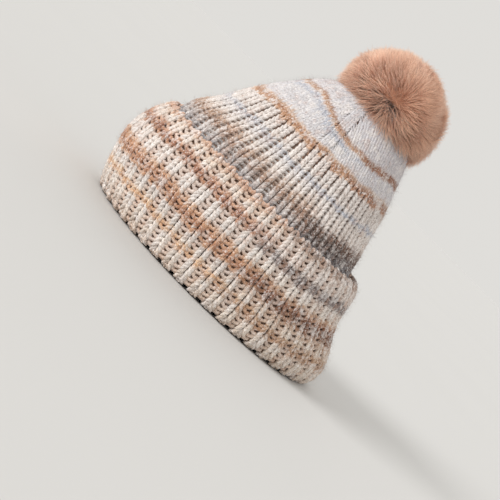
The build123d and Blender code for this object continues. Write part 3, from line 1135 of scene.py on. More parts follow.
        pieces = [
            sheet,
            self.scatter.run("cuff_knit_ribs", knit, self.lobe, self.cuff_yarn, 3, 0.05, 0.03),
            self.scatter.run("cuff_purl_valleys", purl, self.bar, self.cuff_purl, 4, 0.06, 0.04),
            self.scatter.run("cuff_top_edge", edge, self.lobe, self.cuff_yarn, 6, 0.08, 0.05)]
        for piece in pieces:
            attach(piece, "hat")
        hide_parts("cuff")
        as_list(pieces[1:])
        return pieces

    def cuff_sheet(self) -> bpy.types.Object:
        """The ground of the cuff: a sheet from its top edge round the fold to the inside."""
        columns = self.ribs * 8
        share = np.arange(columns) / columns
        swell = 0.35 * MM * -np.cos(2 * math.pi * share * self.ribs)
        depth = 2.9 * MM
        lines = []
        for height in np.linspace(self.cuff_top - 1.2 * MM, self.fold_height + 1 * MM, 40):
            lines.append(self.cuff_wall.places(share, height, -depth + swell))
        for turn in np.linspace(0, 180, 15):
            points, _, outward = self.fold(share, turn, depth)
            lines.append((points + outward * swell[:, None], outward))
        for height in np.linspace(self.fold_height + 2 * MM, 14 * MM, 4):
            points, outward = self.inner_wall.places(share, height, depth - 1.2 * MM)
            lines.append((points, -outward))
        sheet = strip("cuff_fabric", lines, 0.5 * MM)
        # painted shade: the sheet's dark colour shows as shade between the stitches
        sheet.data.materials.append(self.ground)
        return sheet

    def rib_gap(self, height: float) -> float:
        """The width of the dark gap between the body's ribs."""
        share = float(np.clip((height - self.cuff_top) / (self.band_height - self.cuff_top), 0, 1))
        return (2.0 - 1.1 * share) * MM

    def make_body(self) -> list[bpy.types.Object]:
        """The body's sheet, ribs, purl bars, crown, gathered wales and its inside."""
        sheet = self.body_sheet()
        pieces = [sheet, self.body_ribs(), self.body_bars(), self.crown(), self.decreases(),
                  self.inside(), self.gathered_top()]
        for piece in pieces:
            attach(piece, "hat")
        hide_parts("crown_shell")
        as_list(pieces[1:])
        return pieces

    def body_sheet(self) -> bpy.types.Object:
        """The ground of the body, from the fold to the small hole of the gathering yarn."""
        columns = self.ribs * 8
        share = np.arange(columns) / columns
        lines = []
        for height in np.concatenate([np.linspace(10 * MM, 180 * MM, 90),
                                      np.linspace(181 * MM, 185.2 * MM, 5)]):
            fade = 1 - smooth_step(0.125, 0.14, np.array(height))
            swell = 0.3 * MM * fade * np.cos(2 * math.pi * share * self.ribs)
            lines.append(self.body_wall.places(share, height, -2.0 * MM + swell))
        top_points, _ = lines[-1]
        for shrink in (0.85, 0.65, 0.45, 0.3):
            flat = SNAP_AXIS + (top_points - SNAP_AXIS) * np.array([shrink, shrink, 0])
            flat[:, 2] = 183.6 * MM
            lines.append((flat, np.broadcast_to(UP, flat.shape)))
        sheet = strip("body_fabric", lines, 0.5 * MM)
        sheet.data.materials.append(self.body_ground)
        return sheet

    def body_ribs(self) -> bpy.types.Object:
        """The ribs of the body, from inside the cuff up to the main band."""
        share = np.arange(self.ribs) / self.ribs
        guide = Guide()
        low = self.cuff_top - 4 * self.body_course
        count = int(round((self.band_height - low) / self.body_course))
        for i in range(count):
            height = low + (i + 0.5) * self.body_course
            pitch = self.pitch(self.body_wall, height)
            half = (pitch - self.rib_gap(height)) / 2
            lift = -self.sunk
            if height < self.cuff_top:
                lift -= 0.4 * MM
            points, along, outward = self.body_wall.frames(share, height, lift)
            self.legs(guide, points, along, outward, share, half, self.body_course, Lean.DOWN)
        return self.scatter.run("body_knit_ribs", guide, self.lobe, self.body_yarn, 8, 0.05, 0.03)

    def body_bars(self) -> bpy.types.Object:
        """The purl bars deep between the body's ribs."""
        share = (np.arange(self.ribs) + 0.5) / self.ribs
        guide = Guide()
        for i in range(self.bar_rows):
            height = self.cuff_top - self.body_course + i * self.body_course
            points, along, outward = self.body_wall.frames(share, height, -2.1 * MM)
            narrow = 0.62 - 0.02 * i
            guide.add(points, -along, outward, (narrow, 0.8, 0.8), self.dye.at(points, share))
        return self.scatter.run("body_purl_bars", guide, self.bar, self.body_purl, 9, 0.05, 0.04)

    def crown(self) -> bpy.types.Object:
        """The plain knit of the crown: upright wales that end at four decrease lines."""
        guide, wale = Guide(), self.wale
        for height in self.crown_rows(self.crown_course, 0.45):
            arc = self.body_wall.quarter_arc(height)
            later = self.body_wall.quarter_arc(height + 1 * MM)
            rib = self.decrease_half(height)
            room = arc / 2 - rib
            number = int(room / wale)
            spare = room - number * wale
            offset = (np.arange(-number, number) + 0.5) * wale
            half = np.full(2 * number, wale / 2)
            if spare > 0.2 * wale:
                end = number * wale + spare / 2
                offset = np.concatenate([[-end], offset, [end]])
                half = np.concatenate([[spare / 2], half, [spare / 2]])
            for gore in range(4):
                middle = 0.125 + 0.25 * gore
                share = middle + offset / arc * 0.25
                slope = offset * 0.25 * (1 / later - 1 / arc) / MM
                points, along, outward = self.body_wall.frames(
                    share, height, -self.sunk + self.crown_lift, slope)
                self.legs(guide, points, along, outward, share, half, self.crown_course,
                          Lean.DOWN, tilt=18, plump=1.2, depth=0.55)
        return self.scatter.run("crown_plain_knit", guide, self.lobe, self.crown_yarn, 12, 0.04,
                                0.03)

    def crown_rows(self, course: float, start: float) -> list[float]:
        """The heights of the crown's courses, at even steps along its side."""
        height = np.linspace(self.band_height, self.crown_edge, 240)
        width = self.body_wall.ring(height)[2]
        climb = np.concatenate([[0], np.cumsum(np.hypot(np.diff(height), np.diff(width)))])
        return [float(value) for value in
                np.interp(np.arange(course * start, climb[-1], course), climb, height)]

    def gathered_top(self) -> bpy.types.Object:
        """The flat top, where the last courses are drawn in to the gathering yarn."""
        guide = Guide()
        share = np.arange(self.top_wales) / self.top_wales
        rim, _ = self.body_wall.places(share, self.crown_edge)
        reach = (rim - SNAP_AXIS) * np.array([1, 1, 0])
        mean = float(np.linalg.norm(reach, axis=1).mean())
        rows = int((mean - self.gather_hole) / self.crown_course)
        for row in range(rows):
            left = 1 - (row + 0.4) * (1 - self.gather_hole / mean) / rows
            points = SNAP_AXIS + reach * left + UP * (185.0 - 0.4 * row / rows) * MM
            half = mean * left * math.pi / self.top_wales
            self.legs(guide, points, -unit(reach), np.broadcast_to(UP, points.shape), share, half,
                      self.crown_course, Lean.DOWN, tilt=18, plump=1.2, depth=0.5)
        return self.scatter.run("crown_gathered_top", guide, self.lobe, self.crown_yarn, 15, 0.04,
                                0.03)

    def decrease_half(self, height: float) -> float:
        """Half the width of the smooth rib between two decrease lines."""
        return self.decrease_width - self.decrease_taper * (height - self.band_height)

    def decreases(self) -> bpy.types.Object:
        """The four smooth ribs that the crown's wales run out on."""
        share = np.arange(4) / 4
        guide = Guide()
        course = self.decrease_course
        for height in self.crown_rows(course, 0.3):
            half = (self.decrease_half(height) - self.decrease_gap) / 2
            arc = self.body_wall.quarter_arc(height)
            for side in (-1, 1):
                beside = share + side * half / arc * 0.25
                points, along, outward = self.body_wall.frames(beside, height,
                                                               -self.sunk + 0.2 * MM)
                self.legs(guide, points, along, outward, beside, half, course, Lean.DOWN,
                          tilt=19, plump=1.2, depth=0.62)
        return self.scatter.run("crown_decrease_ribs", guide, self.lobe, self.crown_yarn, 13, 0.04,
                                0.03)

    def inside(self) -> bpy.types.Object:
        """The ribs on the body's inner face."""
        share = (np.arange(self.ribs) + 0.5) / self.ribs
        guide = Guide()
        course = self.inner_course
        height = self.fold_height + course * 0.6
        while height < self.inner_top:
            pitch = self.pitch(self.inner_wall, height)
            points, along, outward = self.inner_wall.frames(share, height, self.sunk)
            self.legs(guide, points, -along, -outward, share, pitch * 0.34, course, Lean.UP)
            height += course
        return self.scatter.run("body_inner_ribs", guide, self.lobe, self.lining_yarn, 14, 0.05,
                                0.03)

    def fuzz(self) -> list[bpy.types.Object]:
        """Loose fibres that stand off the yarn."""
        fibre = hair_shape("loose_fibre", 4, 0.9, 0.013)
        pieces = []
        for name, wall, low, high, count, finish, slot in (
                ("cuff_fuzz", self.cuff_wall, 8 * MM, 83 * MM, 7600, self.cuff_yarn, "cuff_knit"),
                ("body_fuzz", self.body_wall, 86 * MM, 184 * MM, 7000, self.body_yarn,
                 "body_knit")):
            share = self.draws.random(count)
            height = low + (high - low) * self.draws.random(count)
            points, along, outward = wall.frames(share, height, -0.4 * MM)
            across = np.cross(along, outward)
            turn = self.draws.uniform(0, 2 * math.pi, count)[:, None]
            level = along * np.cos(turn) + across * np.sin(turn)
            top = unit(outward + level * 0.7)
            length = self.draws.uniform(2.2, 4.8, count)[:, None] * MM
            guide = Guide()
            guide.add(points, np.cross(top, level), top, length * np.ones(3),
                      self.dye.at(points, share))
            piece = self.scatter.run(name, guide, fibre, finish, 21, 3.0, 0.2)
            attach(piece, "hat")
            pieces.append(piece)
        bpy.data.objects.remove(fibre)
        return pieces


# ---------------------------------------------------------------- seams and small trim


@dataclass
class Trim:
    """Seams, tacks, the gathering yarn, felt, threads, the label and the press stud."""

    knit: Knit
    axis: Array = field(default_factory=SNAP_AXIS.copy)

    def __post_init__(self) -> None:
        """Makes the finishes."""
        self.seam_yarn = ThreadFinish("seam_yarn", rgb(214, 194, 174), 14).make()
        self.gather_yarn = ThreadFinish("gather_yarn", rgb(226, 222, 222), 40).make()
        self.felt = FeltFinish("felt", rgb(170, 152, 134), rgb(140, 120, 102), 0.0, 900).make()
        self.thread = ThreadFinish("thread", rgb(168, 132, 104), 30).make()
        self.label = FeltFinish("label_satin", rgb(238, 236, 230), rgb(214, 212, 204),
                                0.5 * MM, 900).make()
        self.metal = MetalFinish("snap_metal", (0.62, 0.60, 0.56), 0.28).make()
        self.wire = MetalFinish("spring_wire", (0.68, 0.68, 0.70), 0.2).make()

    def lobes(self, name: str, guide: Guide, finish: bpy.types.Material, slot: str, body: str,
              seed: int, *nodes: str) -> bpy.types.Object:
        """Sets yarn lobes on a guide, attaches them to their body and hides the nodes they
        replace.
        """
        piece = self.knit.scatter.run(name, guide, self.knit.lobe, finish, seed, 0.05, 0.04)
        return self.declare(piece, slot, body, *nodes)

    @staticmethod
    def declare(piece: bpy.types.Object, slot: str, body: str, *nodes: str) -> bpy.types.Object:
        """Attaches a piece to its body and hides the nodes that it stands for."""
        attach(piece, body)
        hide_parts(*nodes)
        return piece

    def tubes(self, name: str, runs: Sequence[tuple[Array, float, bool]],
              finish: bpy.types.Material, sides: int = 8, plies: int = 2,
              turns: float = 0.0) -> bpy.types.Object:
        """Several twisted tubes as one piece.

        Args:
            name: the piece's name.
            runs: for each tube its path, its radius and whether it is a loop.
            finish: the material.
            sides: the points round each tube.
            plies: the strands of the twist.
            turns: the twist's turns for each centimetre.

        Returns:
            The piece.
        """
        all_points, all_faces, all_facts, start = [], [], [], 0
        for path, radius, closed in runs:
            length = np.linalg.norm(np.diff(path, axis=0), axis=1).sum()
            pitch = round(turns * length / 0.01) if closed else turns * length / 0.01
            points, faces, facts = swept(path, np.full(len(path), radius), sides, closed, plies,
                                         pitch, 0.14 if turns else 0.0)
            all_points.append(points)
            all_facts.append(facts)
            all_faces += [tuple(index + start for index in face) for face in faces]
            start += len(points)
        piece = mesh_piece(name, np.vstack(all_points), all_faces)
        put_vectors(piece.data, "strand", np.vstack(all_facts))
        piece.data.materials.append(finish)
        return facing_out(piece)

    def make_seams(self) -> None:
        """The sewn seam down the back, its run in the cuff, and the cuff's tacks."""
        knit = self.knit
        seam = Guide()
        for side in (-1, 1):
            height = np.arange(12 * MM, 172 * MM, 2.6 * MM)
            share = np.full(len(height), 0.25)
            points, along, outward = knit.inner_wall.frames(share, height, -0.3 * MM)
            across = np.cross(along, outward)
            seam.add(points + across * side * 0.9 * MM, along * 0.75 + across * side * 0.66,
                     -outward, (1.7 * MM, 2.7 * MM, 1.5 * MM), knit.dye.at(points, share))
        self.lobes("back_seam_stitches", seam, self.seam_yarn, "seam_yarn", "hat", 31,
                   "back_seam")
        hidden = Guide()
        height = np.arange(14 * MM, 80 * MM, 3.2 * MM)
        share = np.full(len(height), 0.25)
        points, along, outward = knit.body_wall.frames(share, height, 0.5 * MM)
        across = np.cross(along, outward)
        hidden.add(points, along * 0.6 + across * 0.8, outward,
                   (1.2 * MM, 3.0 * MM, 0.9 * MM), knit.dye.at(points, share))
        self.lobes("cuff_seam_stitches", hidden, self.seam_yarn, "seam_yarn", "hat", 32,
                   "cuff_seam")
        tacks = Guide()
        for share_middle in (0.75, 0.94, 0.56):
            share = share_middle + np.array([-1, 0, 1]) * 0.0028
            points, along, outward = knit.body_wall.frames(share, np.full(3, 73.5 * MM),
                                                           0.55 * MM)
            tacks.add(points, along, outward, (1.3 * MM, 4.6 * MM, 0.9 * MM),
                      knit.dye.at(points, share))
        self.lobes("cuff_tack_stitches", tacks, self.seam_yarn, "seam_yarn", "hat", 33,
                   "cuff_tacks")

    def make_gather(self) -> None:
        """The gathering yarn with its knot and tail, and the felt washer."""
        turn = np.linspace(0, 2 * math.pi, 40, endpoint=False)
        ring = self.axis + np.stack([2.6 * MM * np.cos(turn), 2.6 * MM * np.sin(turn),
                                     184 * MM + 0 * turn], 1)
        share = np.linspace(0, 1, 60)
        knot_turn = share * 4 * math.pi
        knot = self.axis + np.stack([
            (1.1 + 0.5 * np.cos(1.5 * knot_turn)) * MM * np.cos(knot_turn),
            (1.1 + 0.5 * np.cos(1.5 * knot_turn)) * MM * np.sin(knot_turn),
            179.4 * MM + 0.9 * MM * np.sin(1.5 * knot_turn)], 1)
        drop = self.axis + np.stack([2.6 * MM * (1 - share) ** 0.6,
                                     0.3 * MM * np.sin(share * math.pi),
                                     (184 - 4.6 * share) * MM], 1)
        tail = self.axis + np.stack([0.7 * MM * np.sin(share * 5), 0.5 * MM * np.sin(share * 4),
                                     (179.4 - 16 * share) * MM], 1)
        yarn = self.tubes("crown_gather_yarn_twisted",
                          [(ring, 1.05 * MM, True), (knot, 0.9 * MM, False),
                           (drop, 0.95 * MM, False), (tail, 0.95 * MM, False)],
                          self.gather_yarn, 10, 2, 2.5)
        self.declare(yarn, "gather_yarn", "hat", "crown_gather_yarn")
        low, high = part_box("crown_backing")
        washer = self.disc("crown_felt_washer", low.z, high.z, 4.15 * MM, high.x, 41)
        washer.data.materials.append(self.felt)
        self.declare(washer, "felt", "hat", "crown_backing")

    def disc(self, name: str, low: float, high: float, hole: float, radius: float,
             seed: int) -> bpy.types.Object:
        """A felt disc with soft, slightly uneven edges."""
        draws = np.random.default_rng(seed)
        columns = 72
        turn = np.arange(columns) * 2 * math.pi / columns
        uneven = np.convolve(np.tile(draws.normal(0, 1, columns), 3), np.ones(5) / 5, "same")
        uneven = uneven[columns:2 * columns] * 0.12 * MM
        half = (high - low) / 2
        middle = (high + low) / 2
        profile = [(hole + 0.3 * MM, half), (hole, 0.0), (hole + 0.3 * MM, -half)]
        reach = radius - 0.35 * MM
        profile += [(hole + (reach - hole) * step, -half) for step in (0.33, 0.66)]
        profile += [(reach, -half), (reach + half * 0.35, -half * 0.45),
                    (reach + half * 0.35, half * 0.45), (reach, half)]
        profile += [(hole + (reach - hole) * step, half) for step in (0.66, 0.33)]
        rows = []
        for span, height in profile:
            bump = draws.normal(0, 0.04 * MM, columns)
            distance = span + uneven * (span / radius)
            rows.append(self.axis + np.stack([distance * np.cos(turn), distance * np.sin(turn),
                                              middle + height + bump], 1))
        count = len(rows)
        faces = grid_faces(count, columns, True)
        last = (count - 1) * columns
        faces += [(last + i, last + (i + 1) % columns, (i + 1) % columns, i)
                  for i in range(columns)]
        return facing_out(mesh_piece(name, np.vstack(rows), faces))

    def make_stud(self) -> None:
        """The press stud's metal and the threads that sew its halves on."""
        for node, finish in (("snap_stud", self.metal), ("snap_socket", self.metal),
                             ("snap_spring", self.wire)):
            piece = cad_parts[node]
            piece.data.materials.clear()
            piece.data.materials.append(finish)
        for half, body, threads, above in (("snap_stud", "stud", "stud_thread", False),
                                           ("snap_socket", "socket", "socket_thread", True)):
            plate_low, plate_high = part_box(half)
            low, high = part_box(threads)
            plate_top = plate_low.z + 0.8 * MM if half == "snap_stud" else plate_high.z
            face = plate_high.z if above else plate_low.z
            runs = []
            for corner in range(4):
                turn = math.radians(45 + 90 * corner)
                out = np.array([math.cos(turn), math.sin(turn), 0])
                side = np.array([-math.sin(turn), math.cos(turn), 0])
                base = self.axis + out * 4.7 * MM
                if above:
                    for shift in (-0.15, 0.15):
                        peg = [base + side * shift * MM + UP * (plate_low.z + 0.25 * MM),
                               base + side * shift * MM + UP * (plate_top + 0.1 * MM),
                               base - out * 2.6 * MM + UP * (plate_top + 0.25 * MM)]
                        runs.append((self.eased(peg), 0.16 * MM, False))
                else:
                    for shift in (-0.22, 0.0, 0.22):
                        over = [base - out * 0.1 * MM + side * shift * MM + UP * face,
                                base + side * shift * MM + UP * (plate_top + 0.3 * MM),
                                base + out * 1.0 * MM + side * shift * MM
                                + UP * (plate_top + 0.35 * MM),
                                base + out * 1.9 * MM + side * shift * MM
                                + UP * (plate_top + 0.2 * MM)]
                        runs.append((self.eased(over), 0.15 * MM, False))
            wind = np.linspace(0, 1, 90)
            spiral = wind * 2 * math.pi * 4
            shank_low, shank_high = (face, high.z) if above else (low.z, face)
            inset = 0.3 * MM
            helix = self.axis + np.stack([
                1.25 * MM * np.cos(spiral), 1.25 * MM * np.sin(spiral),
                shank_low + inset + (shank_high - shank_low - 2 * inset) * wind], 1)
            runs.append((helix, 0.28 * MM, False))
            core = np.stack([self.axis + UP * (shank_low + 0.2 * MM),
                             self.axis + UP * (shank_high - 0.2 * MM)])
            runs.append((self.eased(core), 1.0 * MM, False))
            piece = self.tubes(threads + "_stitches", runs, self.thread, 6)
            self.declare(piece, "thread", body, threads)

    @staticmethod
    def eased(points: Sequence[Array]) -> Array:
        """A short run of thread through points, with soft corners."""
        line = np.asarray(points, float)
        for _ in range(2):
            cut = [line[0]]
            for first, second in zip(line[:-1], line[1:]):
                cut += [first * 0.75 + second * 0.25, first * 0.25 + second * 0.75]
            line = np.array(cut + [line[-1]])
        return line

    def make_label(self) -> None:
        """The blank woven label inside the back, and its two tacks."""
        low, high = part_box("care_label")
        columns, rows = 17, 25
        x = np.linspace(low.x, high.x, columns)
        z = np.linspace(high.z, low.z, rows)
        grid_x, grid_z = np.meshgrid(x, z)
        drop = (high.z - grid_z) / (high.z - low.z)
        narrow = 1 - 0.06 * smooth_step(0.95, 1.0, drop)
        middle = (low.y + high.y) / 2
        wave = 0.14 * MM * np.sin(grid_x / (6 * MM) + 1) * drop
        points = np.stack([grid_x * narrow, middle + wave, grid_z], -1)
        tilt = np.zeros_like(points)
        tilt[..., 1] = -1
        thick = 0.22 * MM
        hem = thick * (1 + 0.6 * smooth_step(0.06, 0.02, drop))[..., None]
        count = rows * columns
        both = np.concatenate([(points + tilt * hem).reshape(-1, 3),
                               (points - tilt * hem).reshape(-1, 3)])
        faces = grid_faces(rows, columns, False)
        faces += [tuple(reversed(face)) for face in grid_faces(rows, columns, False, count)]
        edge = ([i for i in range(columns)]
                + [row * columns + columns - 1 for row in range(1, rows)]
                + [(rows - 1) * columns + i for i in range(columns - 2, -1, -1)]
                + [row * columns for row in range(rows - 2, 0, -1)])
        for first, second in zip(edge, edge[1:] + edge[:1]):
            faces.append((first, second, second + count, first + count))
        label = facing_out(mesh_piece("care_label_woven", both, faces))
        label.data.materials.append(self.label)
        self.declare(label, "label", "label", "care_label")
        tack_low, tack_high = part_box("label_tacks")
        height = (tack_low.z + tack_high.z) / 2
        runs = []
        for side in (-1, 1):
            for shift in (-0.25, 0.25):
                x_place = side * 9 * MM + shift * MM
                runs.append((self.eased([
                    np.array([x_place, tack_low.y, height - shift * 0.6 * MM]),
                    np.array([x_place + 0.3 * MM, (tack_low.y + tack_high.y) / 2,
                              height + 0.15 * MM]),
                    np.array([x_place, tack_high.y, height + shift * 0.6 * MM])]),
                    0.24 * MM, False))
        tacks = self.tubes("label_tack_threads", runs, self.thread, 6)
        self.declare(tacks, "thread", "hat", "label_tacks")


# ---------------------------------------------------------------- the pompom


@dataclass
class Pompom:
    """The fur ball: felt base, gathered backing, filling and combed fur."""

    scatter: ScatterTree
    trim: Trim
    middle: Array = field(default_factory=lambda: np.array([0, 7.5 * MM, 193 * MM]))
    radius: float = 45.0 * MM
    whorl: Array = field(default_factory=lambda: unit(np.array([1.0, -0.10, -0.08])))
    hairs: int = 23100
    crown_top: float = 186 * MM
    under_side: float = 194.8 * MM
    hang: float = 0.12
    comb_lean: float = 0.28
    upper_squash: float = 0.905
    lower_squash: float = 0.74
    droop: float = 0.11
    coat_share: float = 0.80

    def __post_init__(self) -> None:
        """Makes the finishes."""
        # painted shade: the dark root colour is the shade deep in the pile
        self.fur = FurFinish("fur", rgb(146, 98, 74), rgb(226, 168, 138),
                             rgb(252, 212, 184)).make()
        # painted shade: the undercoat under the hairs is coloured like the shaded roots
        self.under_fur = FeltFinish("under_fur", rgb(176, 122, 94), rgb(134, 90, 68), 0.0,
                                    260).make()
        self.cloth = FeltFinish("pile_backing", rgb(148, 116, 92), rgb(118, 88, 68), 0.8 * MM,
                                900).make()
        self.wadding = FeltFinish("filling", rgb(240, 238, 232), rgb(214, 210, 202), 0.0,
                                  260).make()

    def ball(self, name: str, reach: Any, rows: int = 40, columns: int = 72) -> bpy.types.Object:
        """A closed ball whose reach depends on its direction.

        Args:
            name: the piece's name.
            reach: a function from directions to points.
            rows: the rings of it.
            columns: the points of each.

        Returns:
            The ball.
        """
        polar = np.linspace(0, math.pi, rows + 2)[1:-1]
        turn = np.arange(columns) * 2 * math.pi / columns
        direction = np.stack([np.sin(polar)[:, None] * np.cos(turn),
                              np.sin(polar)[:, None] * np.sin(turn),
                              np.repeat(np.cos(polar)[:, None], columns, 1)], -1).reshape(-1, 3)
        poles = np.array([[0, 0, 1.0], [0, 0, -1.0]])
        points = reach(np.vstack([direction, poles]))
        faces = grid_faces(rows, columns, True)
        top, bottom, last = rows * columns, rows * columns + 1, (rows - 1) * columns
        for i in range(columns):
            j = (i + 1) % columns
            faces += [(top, i, j), (bottom, last + j, last + i)]
        return facing_out(mesh_piece(name, points, faces))

    def edge(self, direction: Array) -> Array:
        """How far the fur reaches in each direction: a soft, lobed ball, open under the crown."""
        turn = np.arctan2(direction[:, 1], direction[:, 0])
        tilt = np.arcsin(np.clip(direction[:, 2], -1, 1))
        lobes = (0.018 * np.sin(3 * turn + 1.0 + 2 * tilt) + 0.014 * np.sin(5 * turn - 3 * tilt)
                 + 0.012 * np.sin(4 * tilt + 2.2))
        squash = np.where(direction[:, 2] > 0, self.upper_squash, self.lower_squash)
        flat = 1 / np.sqrt(direction[:, 0] ** 2 + direction[:, 1] ** 2
                           + (direction[:, 2] / squash) ** 2)
        slant = unit(np.array([0, 1.0, -1.0]))
        stretch = 1 + self.droop * (direction @ slant) ** 2
        return self.radius * flat * (1 + lobes) * stretch

    def make_inside(self) -> None:
        """The base disc, its stitches, the backing bag, the filling and the gather thread."""
        low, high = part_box("pom_base")
        base = self.trim.disc("pom_felt_base", low.z, high.z, 0.6 * MM, high.x - 0.3 * MM, 51)
        base.data.materials.append(self.trim.felt)
        self.trim.declare(base, "felt", "pompom", "pom_base")
        stitches = Guide()
        turn = np.arange(24) * 2 * math.pi / 24
        out = np.stack([np.cos(turn), np.sin(turn), 0 * turn], 1)
        places = self.trim.axis + out * 15.6 * MM + UP * (low.z + 0.05 * MM)
        stitches.add(places, out, np.broadcast_to(-UP, out.shape),
                     (0.8 * MM, 3.2 * MM, 0.7 * MM), np.zeros((24, 3)))
        self.trim.lobes("base_edge_stitches", stitches, self.trim.thread, "thread", "pompom", 52,
                        "base_stitches")
        bag_low, bag_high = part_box("pom_backing")
        centre = np.array([0, (bag_low.y + bag_high.y) / 2, 208.35 * MM])
        wide, tall = (bag_high.x - bag_low.x) / 2, 12.5 * MM

        def bag(direction: Array, inset: float) -> Array:
            """The bag's wall in each direction, pleated near its mouth."""
            turn_round = np.arctan2(direction[:, 1], direction[:, 0])
            near_mouth = smooth_step(-0.4, -0.95, direction[:, 2])
            pleat = 0.5 * MM * near_mouth * np.cos(18 * turn_round) * np.sqrt(
                np.clip(1 - direction[:, 2] ** 2, 0, 1))
            size = np.array([wide - inset, wide - inset, tall - inset])
            return centre + direction * size - direction * (pleat + 0.5 * MM)[:, None]

        backing = self.backing(bag)
        filling = self.ball("pom_wadding", lambda d: bag(d, 2.4 * MM) + unit(d) * (
            0.35 * MM * np.sin(9 * d[:, 0] + 4) * np.sin(8 * d[:, 1]))[:, None])
        filling.data.materials.append(self.wadding)
        self.trim.declare(filling, "filling", "pompom", "pom_filling")
        backing.data.materials.append(self.cloth)
        self.trim.declare(backing, "pile_backing", "pompom", "pom_backing")
        ring_turn = np.linspace(0, 2 * math.pi, 48, endpoint=False)
        ring = self.trim.axis + np.stack([4.3 * MM * np.cos(ring_turn),
                                          4.3 * MM * np.sin(ring_turn),
                                          196.6 * MM + 0.1 * MM * np.sin(6 * ring_turn)], 1)
        thread = self.trim.tubes("pom_mouth_thread", [(ring, 0.6 * MM, True)], self.trim.thread,
                                 8, 2, 4)
        self.trim.declare(thread, "thread", "pompom", "pom_gather_thread")

    def backing(self, bag: Any) -> bpy.types.Object:
        """The backing bag as a thin closed sheet with an open mouth below."""
        rows, columns = 36, 72
        polar = np.linspace(0.02, math.pi - 0.2, rows)
        turn = np.arange(columns) * 2 * math.pi / columns
        lines = []
        for angle in polar:
            direction = np.stack([math.sin(angle) * np.cos(turn), math.sin(angle) * np.sin(turn),
                                  np.full(columns, math.cos(angle))], 1)
            lines.append((bag(direction, 0.7 * MM), direction))
        return strip("pom_backing_bag", lines, 0.35 * MM)

    def inside_crown(self, points: Array, reach: float) -> Array:
        """Which points lie in the crown, or as near to it as the reach says."""
        middle, half_length, half_width = self.trim.knit.body_wall.ring(points[:, 2])
        span = (points[:, 0] / half_width) ** 2 + ((points[:, 1] - middle) / half_length) ** 2
        return (points[:, 2] < self.crown_top) & (span < reach)

    def room_outside(self, places: Array, top: Array, length: Array) -> Array:
        """The share of each hair's length that stays clear of the crown."""
        share = np.ones(len(places))
        for _ in range(9):
            tip = places + top * (length * share)[:, None]
            share[self.inside_crown(tip, 1.06)] *= 0.82
        return share

    def make_fur(self) -> None:
        """The undercoat ball and the combed hairs, in three pieces."""
        def under(direction: Array) -> Array:
            """The undercoat's surface, flat on the felt disc's level below."""
            reach = self.edge(direction) * self.coat_share
            below = smooth_step(0.1, -0.6, direction[:, 2])
            points = self.middle + direction * (reach * (1 - 0.3 * below))[:, None] \
                + UP * (13 * MM * below)[:, None]
            points[:, 2] = np.maximum(points[:, 2], self.under_side)
            return points

        coat = self.ball("pom_undercoat", under, 48, 96)
        coat.data.materials.append(self.under_fur)
        self.trim.declare(coat, "fur", "pompom", "pom_pile")
        draws = np.random.default_rng(17)
        hair = hair_shape("hair", 4, 0.62, 0.0112)
        for part in range(3):
            count = self.hairs // 3
            direction = unit(draws.normal(size=(count, 3)))
            root = self.middle + direction * (self.edge(direction) * 0.66)[:, None]
            low = self.inside_crown(root, 1.04)
            direction[low, 2] *= -1
            guide = Guide()
            away = direction - (direction @ self.whorl)[:, None] * self.whorl
            lock = np.sin(direction @ np.array([9.0, 4.0, 7.0]) + 1.2) \
                * np.sin(direction @ np.array([-5.0, 11.0, 6.0]) + 0.4) * 0.5 + 0.5
            swirl = np.cross(self.whorl, direction)
            lie = 0.35 * np.sin(direction @ np.array([6.0, -7.0, 5.0]))
            comb = (away + swirl * lie[:, None] + draws.normal(0, 0.10, (count, 3))
                    - UP * self.hang)
            comb = comb - (comb * direction).sum(1)[:, None] * direction
            strength = np.clip(np.linalg.norm(away, axis=1), 0.25, 1)[:, None]
            top = unit(direction + unit(comb) * self.comb_lean * strength)
            reach = self.edge(direction)
            start = reach * draws.uniform(0.58, 0.80, count)
            length = (reach - start) * 1.16 * draws.uniform(0.82, 1.06, count)
            places = self.middle + direction * start[:, None]
            length = length * self.room_outside(places, top, length)
            draws.random(count)  # a pause in the draws, which keeps the later ones as they are
            size = np.stack([length, length, length], 1)
            dye = np.stack([lock, direction[:, 2] * 0.5 + 0.5, draws.random(count)], 1)
            guide.add(places, unit(comb), top, size, dye)
            piece = self.scatter.run(f"pom_fur_{part + 1}", guide, hair, self.fur, 61 + part,
                                     0.35, 0.08)
            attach(piece, "pompom")
        bpy.data.objects.remove(hair)


# ---------------------------------------------------------------- studio


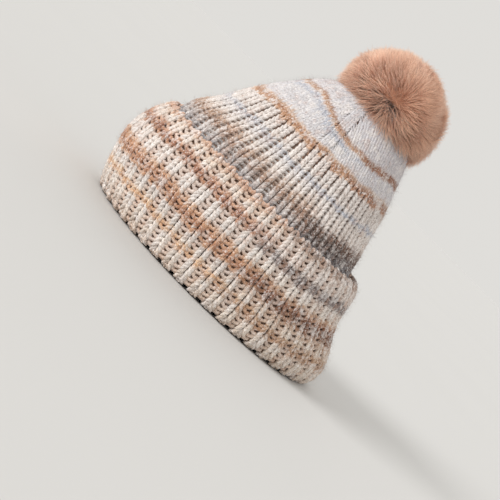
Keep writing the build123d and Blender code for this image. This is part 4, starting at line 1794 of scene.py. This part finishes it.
@dataclass
class Studio:
    """Floor, light and camera."""

    aim: Vector = field(default_factory=lambda: Vector((0, 0.0076, 0.043)))
    distance: float = 0.90
    elevation: float = 6.7
    roll: float = 45.0
    lens: float = 85.0

    def make_floor(self) -> None:
        """A wide pale floor that runs into a world of the same tone."""
        columns = 96
        turn = np.arange(columns) * 2 * math.pi / columns
        points = [np.array([0, 0, 0])] + [np.array([math.cos(a), math.sin(a), 0]) * 60
                                          for a in turn]
        faces = [(0, 1 + i, 1 + (i + 1) % columns) for i in range(columns)]
        floor = mesh_piece("studio_floor", np.array(points), faces)
        shader = Shader("floor_paint", roughness=0.95)
        grain = shader.noise(3, 2)
        colour = shader.mixed(grain, rgb(202, 201, 199), rgb(205, 204, 202))
        floor.data.materials.append(shader.finish(colour))

    def make_light(self) -> None:
        """Soft light from above and in front, with a weaker fill."""
        world = bpy.data.worlds.new("studio")
        bpy.context.scene.world = world
        world.use_nodes = True
        back = next(n for n in world.node_tree.nodes if n.type == "BACKGROUND")
        back.inputs["Color"].default_value = (*rgb(232, 230, 226), 1)
        back.inputs["Strength"].default_value = 0.92
        for name, place, spread, power in (
                ("key_light", (0.75, -1.25, 0.8), 28, 2.0),
                ("fill_light", (0.8, 0.9, 0.7), 60, 0.1),
                ("rear_light", (-1.0, 0.1, 0.8), 60, 0.6)):
            lamp = bpy.data.lights.new(name, "SUN")
            lamp.angle = math.radians(spread)
            lamp.energy = power
            holder = bpy.data.objects.new(name, lamp)
            holder.location = place
            holder.rotation_euler = (-holder.location).to_track_quat("-Z", "Y").to_euler()
            bpy.context.scene.collection.objects.link(holder)

    def make_camera(self) -> None:
        """The camera, level with the brow and rolled."""
        rise = math.radians(self.elevation)
        away = Vector((math.cos(rise), 0, math.sin(rise)))
        right = Vector((0, 1, 0))
        upward = away.cross(right)
        turn = math.radians(self.roll)
        new_right = right * math.cos(turn) + upward * math.sin(turn)
        new_up = upward * math.cos(turn) - right * math.sin(turn)
        matrix = Matrix((new_right, new_up, away)).transposed().to_4x4()
        matrix.translation = self.aim + away * self.distance
        lens = bpy.data.cameras.new("camera")
        lens.lens = self.lens
        lens.sensor_width = 36
        lens.clip_start = 0.01
        camera = bpy.data.objects.new("camera", lens)
        camera.matrix_world = matrix
        bpy.context.scene.collection.objects.link(camera)
        bpy.context.scene.camera = camera


def main() -> None:
    """Builds the hat piece by piece."""
    logging.basicConfig(level=logging.INFO)
    bpy.context.scene.view_settings.view_transform = "Standard"
    studio = Studio()
    studio.make_camera()
    studio.make_floor()
    studio.make_light()
    scatter = ScatterTree()
    knit = Knit(scatter)
    for piece in knit.make_body() + knit.make_cuff() + knit.fuzz():
        LOG.info("%s: %d faces", piece.name, len(piece.data.polygons))
    trim = Trim(knit)
    trim.make_seams()
    trim.make_gather()
    trim.make_stud()
    trim.make_label()
    pompom = Pompom(scatter, trim)
    pompom.make_inside()
    pompom.make_fur()
    for shape in (knit.lobe, knit.bar):
        bpy.data.objects.remove(shape)


if __name__ == "__main__":
    main()
